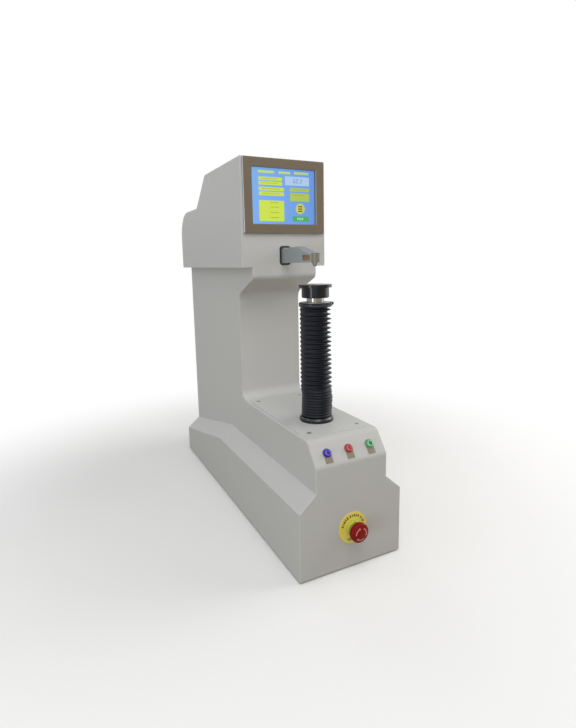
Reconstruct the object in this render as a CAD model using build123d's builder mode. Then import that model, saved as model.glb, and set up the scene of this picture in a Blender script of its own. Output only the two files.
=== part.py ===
from build123d import *
import os
from math import atan2, cos, hypot, radians, sin

os.makedirs("parts", exist_ok=True)

# Bench hardness tester with a motor-driven elevating screw and a projecting indenter nose.
# Millimetres. X is the width, Y runs from the front to the back and Z is up from the floor.
# The origin is on the floor, under the middle of the overall box.

# ------------------------------------------------------------------ driving sizes
# Depths count from the front face of the base, heights from the floor.
sheet = 3.0
fold_radius = 2.5
seat_gap = 0.3
running_gap = 0.05

# base cover
plinth_width = 208.0
body_width = 144.0
base_length = 680.0
cover_bottom = 3.0
skirt_height = 124.0
shoulder_rise = 28.0
rear_skirt_height = 62.0
bend_depth = 396.0
table_height = 234.0
panel_run = 28.0
panel_drop = 38.0
panel_rounding = 14.0

# column cover
column_depth = 320.0
foot_radius = 20.0
seam_rise = 24.0
corbel_rise = 34.0
corbel_drop = 23.0
corbel_concave_radius = 20.0
corbel_nose_radius = 12.0
vent_count = 6
vent_width = 70.0
vent_height = 5.0
vent_pitch = 13.0
vent_rise = 42.0
cover_screw_radius = 3.2
cover_screw_rise = 1.6
cover_screw_side = 9.0
cover_screw_end = 15.0

# head covers
head_width = 186.0
head_depth = 240.0
head_overhang = 7.5
head_bottom = 521.0
head_height = 209.0
shoulder_drop = 66.0
shoulder_length = 154.5
slope_run = 75.0
rear_round = 64.0
shoulder_concave_radius = 18.0
slope_round = 15.0
neck_margin = 6.0
floor_ledge = 21.0

# screen and its bezel
bezel_side = 4.5
bezel_top_gap = 2.0
bezel_rise = 24.0
bezel_thickness = 6.0
screen_side_border = 19.0
screen_low_border = 18.5
screen_high_border = 17.5
screen_bevel = 1.5
rim_chamfer = 0.8
glass_thickness = 1.5
glass_margin = 3.5
display_thickness = 20.0
display_flange = 9.0

# indenter nose, its depths counted from the test axis
axis_depth = 120.0
nose_width = 17.0
nose_rise = 7.0
nose_height = 30.0
nose_wall = 2.5
nose_tip_rise = 17.0
nose_tip_reach = 10.0
nose_slope_run = 48.0
nose_chamfer = 3.0
cutout_width = 24.0
cutout_height = 38.0
cutout_rise = 3.0
cutout_radius = 6.0
trim_width = 2.0
trim_proud = 1.5
nose_root_width = 44.0
nose_root_thickness = 20.0
nose_root_lap = 22.0
window_start = 3.0
window_length = 30.0
window_rise = 4.0
window_height = 10.0

# indenter and loading lever
indenter_reach = 7.0
indenter_body_radius = 4.0
indenter_flat_radius = 1.0
indenter_cone_height = 1.75
spindle_radius = 5.0
spindle_rise = 10.0
lever_rise = 18.0
lever_width = 9.0
lever_height = 14.0
lever_boss = 6.0
lever_tongue_length = 15.0
lever_tongue_slope = 10.0
lever_tongue_thickness = 2.9
lever_top_clearance = 0.6
pivot_setback = 17.0
pivot_pin_radius = 6.0
pin_chamfer = 0.5
cheek_clearance = 3.0
cheek_thickness = 12.0
bracket_length = 30.0
bracket_drop = 9.0
bracket_roof = 6.0

# load cell, drawbar and load motor
link_clearance = 30.0
link_pin_radius = 3.0
link_pin_end = 1.5
cell_width = 24.0
cell_height = 12.0
cell_slot = 2.0
ear_thickness = 4.0
ear_length = 12.0
drawbar_radius = 5.0
drawbar_headroom = 40.0
drawbar_chamfer = 1.0
load_motor_size = 57.0
load_motor_height = 64.0
gearbox_size = 63.0
gearbox_height = 22.0
motor_rounding = 6.0

# anvil, elevating screw and bellows
test_gap = 32.0
anvil_radius = 30.0
anvil_rim = 5.5
anvil_body_radius = 25.0
anvil_body_height = 18.5
anvil_edge = 1.25
anvil_stub_radius = 8.0
anvil_stub_length = 28.0
screw_radius = 19.0
screw_start = 2.0
screw_edge = 1.5
screw_neck_radius = 16.0
neck_height = 8.0
collar_radius = 26.5
collar_height = 8.0
bellows_radius = 29.5
bellows_root_radius = 25.0
bellows_bore_radius = 21.0
bellows_folds = 16
bellows_cuff = 3.0
base_ring_radius = 32.0
base_ring_height = 8.0
base_ring_edge = 3.0
clamp_thickness = 1.4
clamp_height = 5.5
clamp_drop = 1.5
tail_length = 8.0
tail_width = 9.0

# table plate
table_side_margin = 5.5
table_column_gap = 4.0
table_corner_radius = 20.0
table_proud = 1.0
table_thickness = 4.0
table_clearance = 6.0
ledge_width = 24.0
ledge_thickness = 3.0
table_hole_radius = 23.0
table_screw_side = 16.5
table_screw_front = 18.0
table_screw_rear = 15.0
screw_head_radius = 4.8
screw_shank_radius = 2.5

# base plate and levelling feet
plate_bottom = 10.0
plate_thickness = 6.0
foot_pad_radius = 17.0
foot_neck_radius = 10.0
foot_stud_radius = 5.0
foot_nut_height = 8.0
foot_side_inset = 24.0
foot_end_inset = 45.0

# load frame
arm_setback = 58.0
arm_top = 150.0
frame_width = 80.0
frame_column_length = 180.0
frame_rear_gap = 40.0
upper_arm_setback = 28.0
upper_arm_rise = 29.0
motor_headroom = 90.0
frame_radius = 24.0
pocket_depth = 14.0
pocket_margin = 22.0
pocket_radius = 12.0
screw_bore_radius = 23.0

# lift drive
bearing_radius = 36.0
bearing_height = 10.0
bearing_groove = 2.0
race_clearance = 1.5
nut_radius = 27.0
nut_flange_height = 4.0
nut_recess = 3.0
pulley_width = 18.0
nut_pulley_radius = 44.0
motor_pulley_radius = 16.0
pulley_flange = 1.5
pulley_spacing = 115.0
belt_thickness = 1.8
housing_leg_clearance = 2.7
housing_leg_thickness = 7.5
housing_leg_depth = 60.0
housing_deck_rise = 8.0
housing_deck_thickness = 10.0
housing_hub_radius = 34.0
housing_rounding = 6.0
motor_size = 57.0
motor_length = 84.0
motor_shaft_radius = 4.0
motor_shaft_inside = 20.0
motor_plate_thickness = 6.0
motor_plate_side = 12.0
motor_plate_end = 6.0
motor_pilot_radius = 19.0
motor_pilot_height = 3.0
motor_gap = 3.5

# emergency stop, its lengths counted forward from the panel
estop_height = 75.0
legend_radius = 28.0
legend_thickness = 1.5
estop_collar_radius = 14.5
estop_collar_height = 6.0
estop_collar_edge = 1.5
estop_barrel_radius = 11.0
estop_barrel_length = 26.0
estop_nut_height = 6.0
mushroom_radius = 17.0
mushroom_front = 27.5
mushroom_back = 13.0
mushroom_dome = 4.0
mushroom_edge = 3.0
plunger_radius = 7.0
plunger_engagement = 3.0
estop_travel = 5.0
contact_block_width = 30.0
contact_block_height = 42.0
contact_block_depth = 18.0
contact_block_rounding = 1.5

# push-buttons on the tilted panel
button_spacing = 43.0
button_climb = 21.5
button_cap_radius = 5.9
button_cap_edge = 1.5
button_flange_radius = 7.4
button_flange_thickness = 1.0
button_barrel_radius = 6.9
button_barrel_length = 16.0
button_proud = 4.5
button_cap_depth = 9.0
button_travel = 3.0
label_width = 14.0
label_drop = 17.0
label_ring_radius = 8.4
label_thickness = 0.8

# mains inlet and its rocker
inlet_x = 34.0
inlet_low = 88.0
inlet_width = 28.0
inlet_height = 66.0
inlet_flange = 2.0
inlet_body_depth = 28.0
inlet_border = 7.0
socket_width = 22.5
socket_height = 17.0
socket_depth = 17.0
socket_chamfer = 4.0
pin_length = 15.0
pin_width = 2.0
pin_height = 4.0
pin_spread = 6.0
pin_rise = 3.0
pin_fall = 1.5
rocker_width = 12.0
rocker_height = 19.0
rocker_depth = 9.0
rocker_tilt = 10.0
rocker_end_gap = 0.6

# electrics
bay_clearance = 4.5
supply_length = 180.0
supply_height = 54.0
supply_front_depth = 300.0
supply_rounding = 1.5
driver_length = 120.0
driver_height = 84.0
fin_count = 8
fin_height = 21.0
board_width = 70.0
board_margin = 12.0
board_thickness = 1.6
standoff_height = 8.0
standoff_radius = 3.0
standoff_inset = 6.0
chip_size = 14.0
chip_height = 3.0
chip_pitch = 34.0

# ------------------------------------------------------------------ derived sizes
head_rear_depth = base_length + head_overhang
front_y = -(head_rear_depth - mushroom_front) / 2
axis_y = front_y + axis_depth
rear_y = front_y + base_length
column_y = front_y + column_depth
head_y = front_y + head_depth
head_rear_y = front_y + head_rear_depth
bend_y = front_y + bend_depth
cut_margin = 5.0

half_plinth = plinth_width / 2
half_body = body_width / 2
half_head = head_width / 2
shoulder_run = half_plinth - half_body

front_height = table_height - panel_drop
slant_length = hypot(panel_run, panel_drop)
slant_up = (0, panel_run / slant_length, panel_drop / slant_length)
slant_out = (0, -slant_up[2], slant_up[1])

table_top = table_height + table_proud
table_bottom = table_top - table_thickness
table_width = body_width - 2 * table_side_margin
table_front_depth = panel_run + panel_rounding
table_rear_depth = column_depth - foot_radius - table_column_gap
table_screw_x = table_width / 2 - table_screw_side
table_screw_depths = (table_front_depth + table_screw_front, table_rear_depth - table_screw_rear)
ring_top = table_top + base_ring_height
cover_split = table_height + seam_rise

corbel_high = head_bottom - corbel_drop
corbel_low = corbel_high - corbel_rise
corbel_run = column_depth - head_depth
corbel_slope = hypot(corbel_run, corbel_rise)

head_top = head_bottom + head_height
shoulder_height = head_top - shoulder_drop
shoulder_y = head_rear_y - shoulder_length
slope_top_y = shoulder_y - slope_run
slope_length = hypot(slope_run, shoulder_drop)
panel_back_y = head_y + sheet

nose_bottom = head_bottom + nose_rise
nose_top = nose_bottom + nose_height
nose_tip_height = nose_bottom + nose_tip_rise
nose_front_y = axis_y - nose_tip_reach
nose_slope_y = axis_y + nose_slope_run
cutout_low = head_bottom + cutout_rise
cutout_high = cutout_low + cutout_height
cutout_middle = (cutout_low + cutout_high) / 2

bezel_width = head_width - 2 * bezel_side
bezel_low = cutout_high + bezel_rise
bezel_high = head_top - bezel_top_gap
bezel_middle = (bezel_low + bezel_high) / 2
screen_width = bezel_width - 2 * screen_side_border
screen_low = bezel_low + screen_low_border
screen_high = bezel_high - screen_high_border
screen_height = screen_high - screen_low
screen_middle = (screen_low + screen_high) / 2
glass_width = screen_width + 2 * glass_margin
glass_height = screen_height + 2 * glass_margin

indenter_tip = nose_bottom - indenter_reach
spindle_bottom = nose_bottom - nose_wall
spindle_top = nose_bottom + spindle_rise
lever_pivot_height = nose_bottom + lever_rise
upper_front_y = head_y + upper_arm_setback
upper_arm_bottom = lever_pivot_height + upper_arm_rise
upper_arm_top = head_top - motor_headroom
lever_y = upper_front_y + pivot_setback
frame_rear_y = rear_y - frame_rear_gap
frame_column_y = frame_rear_y - frame_column_length
link_y = frame_column_y - link_clearance
arm_front_y = axis_y - arm_setback

anvil_top = indenter_tip - test_gap
anvil_bottom = anvil_top - anvil_rim - anvil_body_height
collar_top = anvil_bottom - neck_height
collar_bottom = collar_top - collar_height
screw_bottom = arm_top + screw_start

plate_top = plate_bottom + plate_thickness
bearing_top = arm_top + bearing_height
nut_bottom = bearing_top + seat_gap
nut_top = table_bottom - nut_recess
pulley_bottom = bearing_top + nut_flange_height
pulley_top = pulley_bottom + pulley_width
motor_y = axis_y + pulley_spacing
housing_leg_gap = 2 * (nut_pulley_radius + belt_thickness + housing_leg_clearance)
arm_width = housing_leg_gap + 2 * housing_leg_thickness
deck_bottom = pulley_top + housing_deck_rise
deck_top = deck_bottom + housing_deck_thickness


def slant_plane(x, climb):
    """A plane on the tilted front panel, its normal pointing out of the machine."""
    origin = (x, front_y + slant_up[1] * climb, front_height + slant_up[2] * climb)
    return Plane(origin=origin, x_dir=(1, 0, 0), z_dir=slant_out)


def corner(sketch, across, up):
    """The corner of a sketch that lies nearest to a point in the sketch's own plane."""
    return sketch.vertices().sort_by_distance((across, up))[:1]


def publish(block, name):
    """Label a finished piece and write its file."""
    block.part.label = name
    export_step(block.part, f"parts/{name}.step")


def screw_places(x, depths):
    """Plan positions of a symmetrical screw pattern."""
    return [(side * x, front_y + depth) for depth in depths for side in (-1, 1)]


# ------------------------------------------------------------------ base cover
def base_section(y, inset, bottom, top, drop):
    """Cross-section of the base: wide skirt, sloped shoulder, narrower body."""
    slope_length = hypot(shoulder_run, shoulder_rise)
    sink = inset * (slope_length - shoulder_rise) / shoulder_run
    low = skirt_height - drop - sink
    with BuildSketch(Plane.XZ.offset(-y)) as section:
        with BuildLine():
            Polyline(
                (half_plinth - inset, bottom),
                (half_plinth - inset, low),
                (half_body - inset, low + shoulder_rise),
                (half_body - inset, top),
                (inset - half_body, top),
                (inset - half_body, low + shoulder_rise),
                (inset - half_plinth, low),
                (inset - half_plinth, bottom),
                close=True,
            )
        make_face()
    return section.sketch


def side_outline(inset, bottom, top):
    """Side view of the base: tilted button panel, table and the foot of the column."""
    with BuildSketch(Plane.YZ) as side:
        with BuildLine():
            Polyline(
                (front_y, bottom),
                (front_y, front_height),
                (front_y + panel_run, table_height),
                (column_y, table_height),
                (column_y, top + inset),
                (rear_y, top + inset),
                (rear_y, bottom),
                close=True,
            )
        make_face()
        fillet(corner(side, front_y, front_height), radius=panel_rounding)
        fillet(corner(side, front_y + panel_run, table_height), radius=panel_rounding)
        fillet(corner(side, column_y, table_height), radius=foot_radius)
        if inset:
            offset(amount=-inset, kind=Kind.INTERSECTION)
    return side.sketch


def base_form(inset, bottom, top):
    """The base as a solid block, drawn in by the sheet thickness for its inside."""
    front = front_y + inset
    back = rear_y - inset
    full_drop = skirt_height - rear_skirt_height
    drop = full_drop * (back - bend_y) / (rear_y - bend_y)
    straight = base_section(front, inset, bottom, top, 0)
    bend = base_section(bend_y, inset, bottom, top, 0)
    end = base_section(back, inset, bottom, top, drop)
    side = side_outline(inset, bottom, top)
    with BuildPart() as form:
        extrude(straight, amount=-(bend_y - front))
        loft([bend, end], ruled=True)
        extrude(side, amount=half_plinth, both=True, mode=Mode.INTERSECT)
    return form.part


def edge_corners(form, x, low, high):
    """Edges of a form on both sides at a given half width, between two heights."""
    on_side = form.edges().filter_by(lambda e: abs(abs(e.center().X) - x) < seat_gap)
    above = on_side.filter_by(lambda e: min(v.Z for v in e.vertices()) > low)
    return above.filter_by(lambda e: e.center().Z < high)


def table_outline(grow):
    """Plan of the table plate, its corners rounded, grown outwards by a clearance."""
    length = table_rear_depth - table_front_depth
    middle = front_y + (table_rear_depth + table_front_depth) / 2
    with BuildSketch(Plane.XY.offset(table_bottom)) as plan:
        with Locations((0, middle)):
            RectangleRounded(
                table_width + 2 * grow,
                length + 2 * grow,
                table_corner_radius + max(grow, 0),
            )
    return plan.sketch


def base_folds(form):
    """The bent edges of the base cover: round its front face, and along the table and foot."""
    low = front_height - panel_rounding
    top_edges = edge_corners(form, half_body, low, cover_split - seat_gap)
    front_edges = form.edges().filter_by(lambda e: abs(e.center().Y - front_y) < seat_gap)
    side_edges = front_edges.filter_by(lambda e: abs(e.center().X) > seat_gap)
    return (top_edges + side_edges).filter_by(lambda e: e.center().Y < rear_y - fold_radius)


def column_folds(form):
    """The bent edges of the column cover: up the front, under the corbel and up the neck."""
    edges = edge_corners(form, half_body, cover_split - seat_gap, head_bottom - seat_gap)
    forward = edges.filter_by(lambda e: e.center().Y < column_y + corbel_concave_radius)
    return forward.filter_by(lambda e: e.center().Z > cover_split + seat_gap)


base_outer = base_form(0, cover_bottom, cover_split)
base_inner = base_form(sheet, cover_bottom - cut_margin, cover_split + cut_margin)
inlet_middle = inlet_low + inlet_height / 2
button_places = [-button_spacing, 0, button_spacing]

with BuildPart() as base_cover:
    add(base_outer)
    fillet(base_folds(base_cover), radius=fold_radius)
    add(base_inner, mode=Mode.SUBTRACT)
    # ledge under the table plate, with the opening for the lift housing
    extrude(table_outline(table_clearance), amount=-ledge_thickness)
    extrude(table_outline(-ledge_width), amount=-ledge_thickness, mode=Mode.SUBTRACT)
    extrude(table_outline(seat_gap), amount=table_thickness, mode=Mode.SUBTRACT)
    with Locations(Plane.XY.offset(table_bottom)):
        with Locations(screw_places(table_screw_x, table_screw_depths)):
            Hole(screw_shank_radius + running_gap, depth=ledge_thickness)
    # emergency stop hole in the front, button holes in the tilted panel
    with Locations(Plane.XZ.offset(-front_y)):
        with Locations((0, estop_height)):
            Hole(estop_barrel_radius + running_gap, depth=sheet + cut_margin)
    for place in button_places:
        with Locations(slant_plane(place, button_climb)):
            Hole(button_barrel_radius + running_gap, depth=sheet + cut_margin)
    # cut-out for the mains inlet in the rear wall
    with BuildSketch(Plane.XZ.offset(-rear_y)) as inlet_hole:
        with Locations((inlet_x, inlet_middle)):
            Rectangle(inlet_width - 2 * inlet_flange, inlet_height - 2 * inlet_flange)
    extrude(inlet_hole.sketch, amount=cut_margin, both=True, mode=Mode.SUBTRACT)
publish(base_cover, "base_cover")

with BuildPart() as table_plate:
    extrude(table_outline(0), amount=table_thickness)
    chamfer(table_plate.faces().sort_by(Axis.Z)[-1].edges(), length=table_proud / 2)
    with Locations((0, axis_y, table_top)):
        Hole(table_hole_radius, depth=table_thickness)
    with Locations(Plane.XY.offset(table_top)):
        with Locations(screw_places(table_screw_x, table_screw_depths)):
            CounterSinkHole(
                screw_shank_radius + running_gap,
                screw_head_radius + running_gap,
                depth=table_thickness,
            )
publish(table_plate, "table_plate")

table_screw_bottom = table_bottom - ledge_thickness - sheet
head_cone = screw_head_radius - screw_shank_radius
with BuildPart() as table_screws:
    for x, y in screw_places(table_screw_x, table_screw_depths):
        with BuildSketch(Plane.XZ.offset(-y)) as half:
            with BuildLine():
                Polyline(
                    (x, table_screw_bottom),
                    (x + screw_shank_radius, table_screw_bottom),
                    (x + screw_shank_radius, table_top - head_cone),
                    (x + screw_head_radius, table_top),
                    (x, table_top),
                    close=True,
                )
            make_face()
        revolve(half.sketch, axis=Axis((x, y, 0), (0, 0, 1)))
publish(table_screws, "table_screws")

# ------------------------------------------------------------------ column cover
def column_form(inset, bottom, top, back):
    """The column cover as a solid, leaning forward under the head as a corbel."""
    climb = inset * (corbel_slope - corbel_rise) / corbel_run
    with BuildPart() as form:
        with BuildSketch(Plane.YZ) as side:
            with BuildLine():
                Polyline(
                    (column_y + inset, bottom),
                    (column_y + inset, corbel_low + climb),
                    (head_y + inset, corbel_high + climb),
                    (head_y + inset, top),
                    (back, top),
                    (back, bottom),
                    close=True,
                )
            make_face()
            low_bend = corner(side, column_y + inset, corbel_low + climb)
            fillet(low_bend, radius=corbel_concave_radius + inset)
            high_bend = corner(side, head_y + inset, corbel_high + climb)
            fillet(high_bend, radius=corbel_nose_radius - inset)
        extrude(amount=half_body - inset, both=True)
    return form.part


column_outer = column_form(0, cover_split, head_bottom, rear_y - sheet)
column_inner = column_form(
    sheet, cover_split - cut_margin, head_bottom + cut_margin, rear_y + cut_margin
)
with BuildPart() as column_cover:
    add(column_outer)
    fillet(column_folds(column_cover), radius=fold_radius)
    add(column_inner, mode=Mode.SUBTRACT)
publish(column_cover, "column_cover")

vent_low = cover_split + vent_rise
vent_places = [(0, vent_low + step * vent_pitch) for step in range(vent_count)]
rear_screw_x = half_body - cover_screw_side
rear_screw_heights = [cover_split + cover_screw_end, head_bottom - cover_screw_end]
rear_screw_places = [(side * rear_screw_x, z) for z in rear_screw_heights for side in (-1, 1)]
with BuildPart() as rear_cover:
    with BuildSketch(Plane.XZ.offset(-rear_y)) as rear_outline:
        with Locations((0, (cover_split + head_bottom) / 2)):
            Rectangle(body_width, head_bottom - cover_split)
        with Locations(vent_places):
            Rectangle(vent_width, vent_height, mode=Mode.SUBTRACT)
    extrude(rear_outline.sketch, amount=sheet)
publish(rear_cover, "rear_cover")

# ------------------------------------------------------------------ head covers
def head_form(inset, front, bottom):
    """The head cover as a solid: high at the front, sloping down to a rounded rear shoulder."""
    back = (slope_length - slope_run) / shoulder_drop * inset
    with BuildPart() as form:
        with BuildSketch(Plane.YZ) as side:
            with BuildLine():
                Polyline(
                    (front, bottom),
                    (head_rear_y - inset, bottom),
                    (head_rear_y - inset, shoulder_height - inset),
                    (shoulder_y - back, shoulder_height - inset),
                    (slope_top_y - back, head_top - inset),
                    (front, head_top - inset),
                    close=True,
                )
            make_face()
            fillet(
                corner(side, head_rear_y - inset, shoulder_height - inset),
                radius=rear_round - inset,
            )
            fillet(
                corner(side, shoulder_y - back, shoulder_height - inset),
                radius=shoulder_concave_radius + inset,
            )
            fillet(
                corner(side, slope_top_y - back, head_top - inset),
                radius=slope_round - inset,
            )
        extrude(amount=half_head - inset, both=True)
    return form.part


def head_folds(form):
    """The bent edges along the top, the slope, the shoulder and the rear of the head."""
    edges = edge_corners(form, half_head, head_bottom - seat_gap, head_top + seat_gap)
    behind = edges.filter_by(lambda e: e.center().Y > panel_back_y + seat_gap)
    return behind.filter_by(lambda e: e.center().Z > head_bottom + seat_gap)


head_inner = head_form(sheet, head_y - cut_margin, head_bottom - cut_margin)
with BuildPart() as head_cover:
    add(head_form(0, panel_back_y, head_bottom))
    fillet(head_folds(head_cover), radius=fold_radius)
    add(head_inner, mode=Mode.SUBTRACT)
publish(head_cover, "head_cover")

with BuildPart() as head_front_panel:
    with BuildSketch(Plane.XZ.offset(-head_y)) as panel_outline:
        with Locations((0, (head_bottom + head_top) / 2)):
            Rectangle(head_width, head_top - head_bottom)
        upper = panel_outline.vertices().group_by(Axis.Y)[-1]
        fillet(upper, radius=fold_radius)
        with Locations((0, screen_middle)):
            Rectangle(
                glass_width + 2 * seat_gap,
                glass_height + 2 * seat_gap,
                mode=Mode.SUBTRACT,
            )
        with Locations((0, cutout_middle)):
            RectangleRounded(
                cutout_width,
                cutout_height,
                cutout_radius,
                mode=Mode.SUBTRACT,
            )
    extrude(panel_outline.sketch, amount=-sheet)
    outer_front = head_front_panel.edges().filter_by(
        lambda e: abs(e.center().Y - head_y) < seat_gap
        and (abs(e.center().X) > half_head - fold_radius or e.center().Z > head_top - fold_radius)
    )
    fillet(outer_front, radius=fold_radius / 2)
publish(head_front_panel, "head_front_panel")

plate_back_y = head_rear_y - sheet
neck_front_y = panel_back_y + floor_ledge
neck_back_y = rear_y - floor_ledge
with BuildPart() as head_base_plate:
    with BuildSketch(Plane.XY.offset(head_bottom)) as floor_outline:
        with Locations((0, (panel_back_y + plate_back_y) / 2)):
            Rectangle(head_width - 2 * sheet, plate_back_y - panel_back_y)
        with Locations((0, (neck_front_y + neck_back_y) / 2)):
            Rectangle(
                body_width - 2 * neck_margin,
                neck_back_y - neck_front_y,
                mode=Mode.SUBTRACT,
            )
    extrude(floor_outline.sketch, amount=sheet)
publish(head_base_plate, "head_base_plate")

with BuildPart() as bezel:
    with BuildSketch(Plane.XZ.offset(-head_y)) as bezel_outline:
        with Locations((0, bezel_middle)):
            RectangleRounded(bezel_width, bezel_high - bezel_low, fold_radius)
        with Locations((0, screen_middle)):
            Rectangle(screen_width, screen_height, mode=Mode.SUBTRACT)
    extrude(bezel_outline.sketch, amount=bezel_thickness)
    bezel_front = bezel.faces().sort_by(Axis.Y)[0]
    chamfer(bezel_front.inner_wires()[0].edges(), length=screen_bevel)
    rim = bezel.edges().filter_by(
        lambda e: abs(e.center().Y - head_y + bezel_thickness) < seat_gap
        and (abs(e.center().X) > screen_width / 2 + 2 * screen_bevel
             or abs(e.center().Z - screen_middle) > screen_height / 2 + 2 * screen_bevel)
    )
    chamfer(rim, length=rim_chamfer)
publish(bezel, "bezel")

with BuildPart() as touch_glass:
    with BuildSketch(Plane.XZ.offset(-head_y)) as glass_outline:
        with Locations((0, screen_middle)):
            Rectangle(glass_width, glass_height)
    extrude(glass_outline.sketch, amount=-glass_thickness)
publish(touch_glass, "touch_glass")

display_front = head_y + glass_thickness
with BuildPart() as display_module:
    with BuildSketch(Plane.XZ.offset(-display_front)) as display_outline:
        with Locations((0, screen_middle)):
            Rectangle(glass_width, glass_height)
    extrude(display_outline.sketch, amount=-display_thickness)
    with BuildSketch(Plane.XZ.offset(-panel_back_y)) as flange_outline:
        with Locations((0, screen_middle)):
            RectangleRounded(
                glass_width + 2 * display_flange,
                glass_height + 2 * display_flange,
                fold_radius,
            )
    extrude(flange_outline.sketch, amount=-sheet)
publish(display_module, "display_module")

# ------------------------------------------------------------------ indenter nose
nose_root_y = upper_front_y - nose_root_thickness


def nose_side(inset, back):
    """Side view of the nose: level on top, then sloping down to its tip."""
    slope = atan2(nose_top - nose_tip_height, nose_slope_y - axis_y)
    drop = inset / cos(slope)
    with BuildSketch(Plane.YZ) as side:
        with BuildLine():
            Polyline(
                (nose_front_y + inset, nose_bottom + inset),
                (nose_front_y + inset, nose_tip_height - drop),
                (axis_y, nose_tip_height - drop),
                (nose_slope_y, nose_top - inset),
                (back, nose_top - inset),
                (back, nose_bottom + inset),
                close=True,
            )
        make_face()
    return side.sketch


nose_root_top = upper_arm_bottom + nose_root_lap
window_middle = (axis_y + window_start + window_length / 2, nose_bottom + window_rise + window_height / 2)
with BuildPart() as nose_housing:
    extrude(nose_side(0, nose_root_y), amount=nose_width / 2, both=True)
    tip_edges = nose_housing.edges().filter_by(Axis.Z).group_by(Axis.Y)[0]
    fillet(tip_edges, radius=nose_width / 2 - seat_gap)
    # facets that open out along the upper edges towards the tip
    upper_edges = nose_housing.edges().filter_by(
        lambda e: e.center().Z > nose_tip_height + seat_gap and abs(e.center().X) > seat_gap
    )
    chamfer(upper_edges, length=nose_chamfer)
    # root flange, bolted to the front of the load frame
    with BuildSketch(Plane.XZ.offset(-nose_root_y)) as root_outline:
        with Locations((0, (cutout_low + nose_root_top) / 2)):
            RectangleRounded(nose_root_width, nose_root_top - cutout_low, cutout_radius)
    extrude(root_outline.sketch, amount=-nose_root_thickness)
    # the cavity for the lever, open at the rear
    cavity = nose_side(nose_wall, upper_front_y + cut_margin)
    extrude(cavity, amount=nose_width / 2 - nose_wall, both=True, mode=Mode.SUBTRACT)
    # windows on both sides, through which the lever shows
    with BuildSketch(Plane.YZ) as window:
        with Locations(window_middle):
            RectangleRounded(window_length, window_height, fold_radius)
    extrude(window.sketch, amount=nose_width, both=True, mode=Mode.SUBTRACT)
    # guide for the spindle at the test axis
    with Locations((0, axis_y, nose_bottom + nose_wall)):
        Hole(spindle_radius + running_gap, depth=2 * nose_wall)
publish(nose_housing, "nose_housing")

with BuildPart() as nose_trim:
    with BuildSketch(Plane.XZ.offset(-head_y + trim_proud)) as trim_outline:
        with Locations((0, cutout_middle)):
            RectangleRounded(
                cutout_width - 2 * running_gap,
                cutout_height - 2 * running_gap,
                cutout_radius,
            )
            RectangleRounded(
                cutout_width - 2 * trim_width,
                cutout_height - 2 * trim_width,
                cutout_radius - trim_width,
                mode=Mode.SUBTRACT,
            )
    extrude(trim_outline.sketch, amount=-(sheet + trim_proud))
publish(nose_trim, "nose_trim")

# ------------------------------------------------------------------ indenter and lever
with BuildPart() as indenter_spindle:
    with BuildSketch(Plane.XZ.offset(-axis_y)) as half:
        with BuildLine():
            Polyline(
                (0, spindle_bottom),
                (spindle_radius, spindle_bottom),
                (spindle_radius, spindle_top),
                (0, spindle_top),
                close=True,
            )
        make_face()
    revolve(axis=Axis((0, axis_y, 0), (0, 0, 1)))
publish(indenter_spindle, "indenter_spindle")

with BuildPart() as indenter:
    with BuildSketch(Plane.XZ.offset(-axis_y)) as half:
        with BuildLine():
            Polyline(
                (0, indenter_tip),
                (indenter_flat_radius, indenter_tip),
                (indenter_body_radius, indenter_tip + indenter_cone_height),
                (indenter_body_radius, spindle_bottom),
                (0, spindle_bottom),
                close=True,
            )
        make_face()
    revolve(axis=Axis((0, axis_y, 0), (0, 0, 1)))
publish(indenter, "indenter")

lever_front_y = axis_y - spindle_radius
tongue_back_y = lever_front_y + lever_tongue_length
tongue_bottom = spindle_top + seat_gap
tongue_top = tongue_bottom + lever_tongue_thickness
lever_bottom = lever_pivot_height - lever_height / 2
lever_top = lever_pivot_height + lever_height / 2
lever_rear_y = link_y + lever_height
with BuildPart() as loading_lever:
    with BuildSketch(Plane.YZ) as side:
        with BuildLine():
            Polyline(
                (lever_front_y, tongue_bottom),
                (tongue_back_y, tongue_bottom),
                (tongue_back_y + lever_tongue_slope, lever_bottom),
                (lever_rear_y, lever_bottom),
                (lever_rear_y, lever_top),
                (nose_slope_y + lever_height, lever_top - lever_top_clearance),
                (tongue_back_y, tongue_top),
                (lever_front_y, tongue_top),
                close=True,
            )
        make_face()
        with Locations((lever_y, lever_pivot_height)):
            Circle(pivot_pin_radius + lever_boss)
        with Locations((lever_y, lever_pivot_height)):
            Circle(pivot_pin_radius + running_gap, mode=Mode.SUBTRACT)
        with Locations((link_y, lever_pivot_height)):
            Circle(link_pin_radius + seat_gap, mode=Mode.SUBTRACT)
    extrude(side.sketch, amount=lever_width / 2, both=True)
publish(loading_lever, "loading_lever")

cheek_gap = lever_width + 2 * cheek_clearance
bracket_width = cheek_gap + 2 * cheek_thickness
bracket_bottom = lever_pivot_height - pivot_pin_radius - bracket_drop
bracket_height = upper_arm_bottom - bracket_bottom
bracket_middle = (bracket_bottom + upper_arm_bottom) / 2
with BuildPart() as lever_bracket:
    with Locations((0, lever_y, bracket_middle)):
        Box(bracket_width, bracket_length, bracket_height)
    with Locations((0, lever_y, bracket_middle - bracket_roof)):
        Box(cheek_gap, bracket_length, bracket_height, mode=Mode.SUBTRACT)
    fillet(lever_bracket.edges().filter_by(Axis.X).group_by(Axis.Z)[0], radius=bracket_roof)
    with Locations((0, lever_y, lever_pivot_height)):
        Cylinder(
            pivot_pin_radius + running_gap,
            bracket_width + cut_margin,
            rotation=(0, 90, 0),
            mode=Mode.SUBTRACT,
        )
publish(lever_bracket, "lever_bracket")

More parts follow.
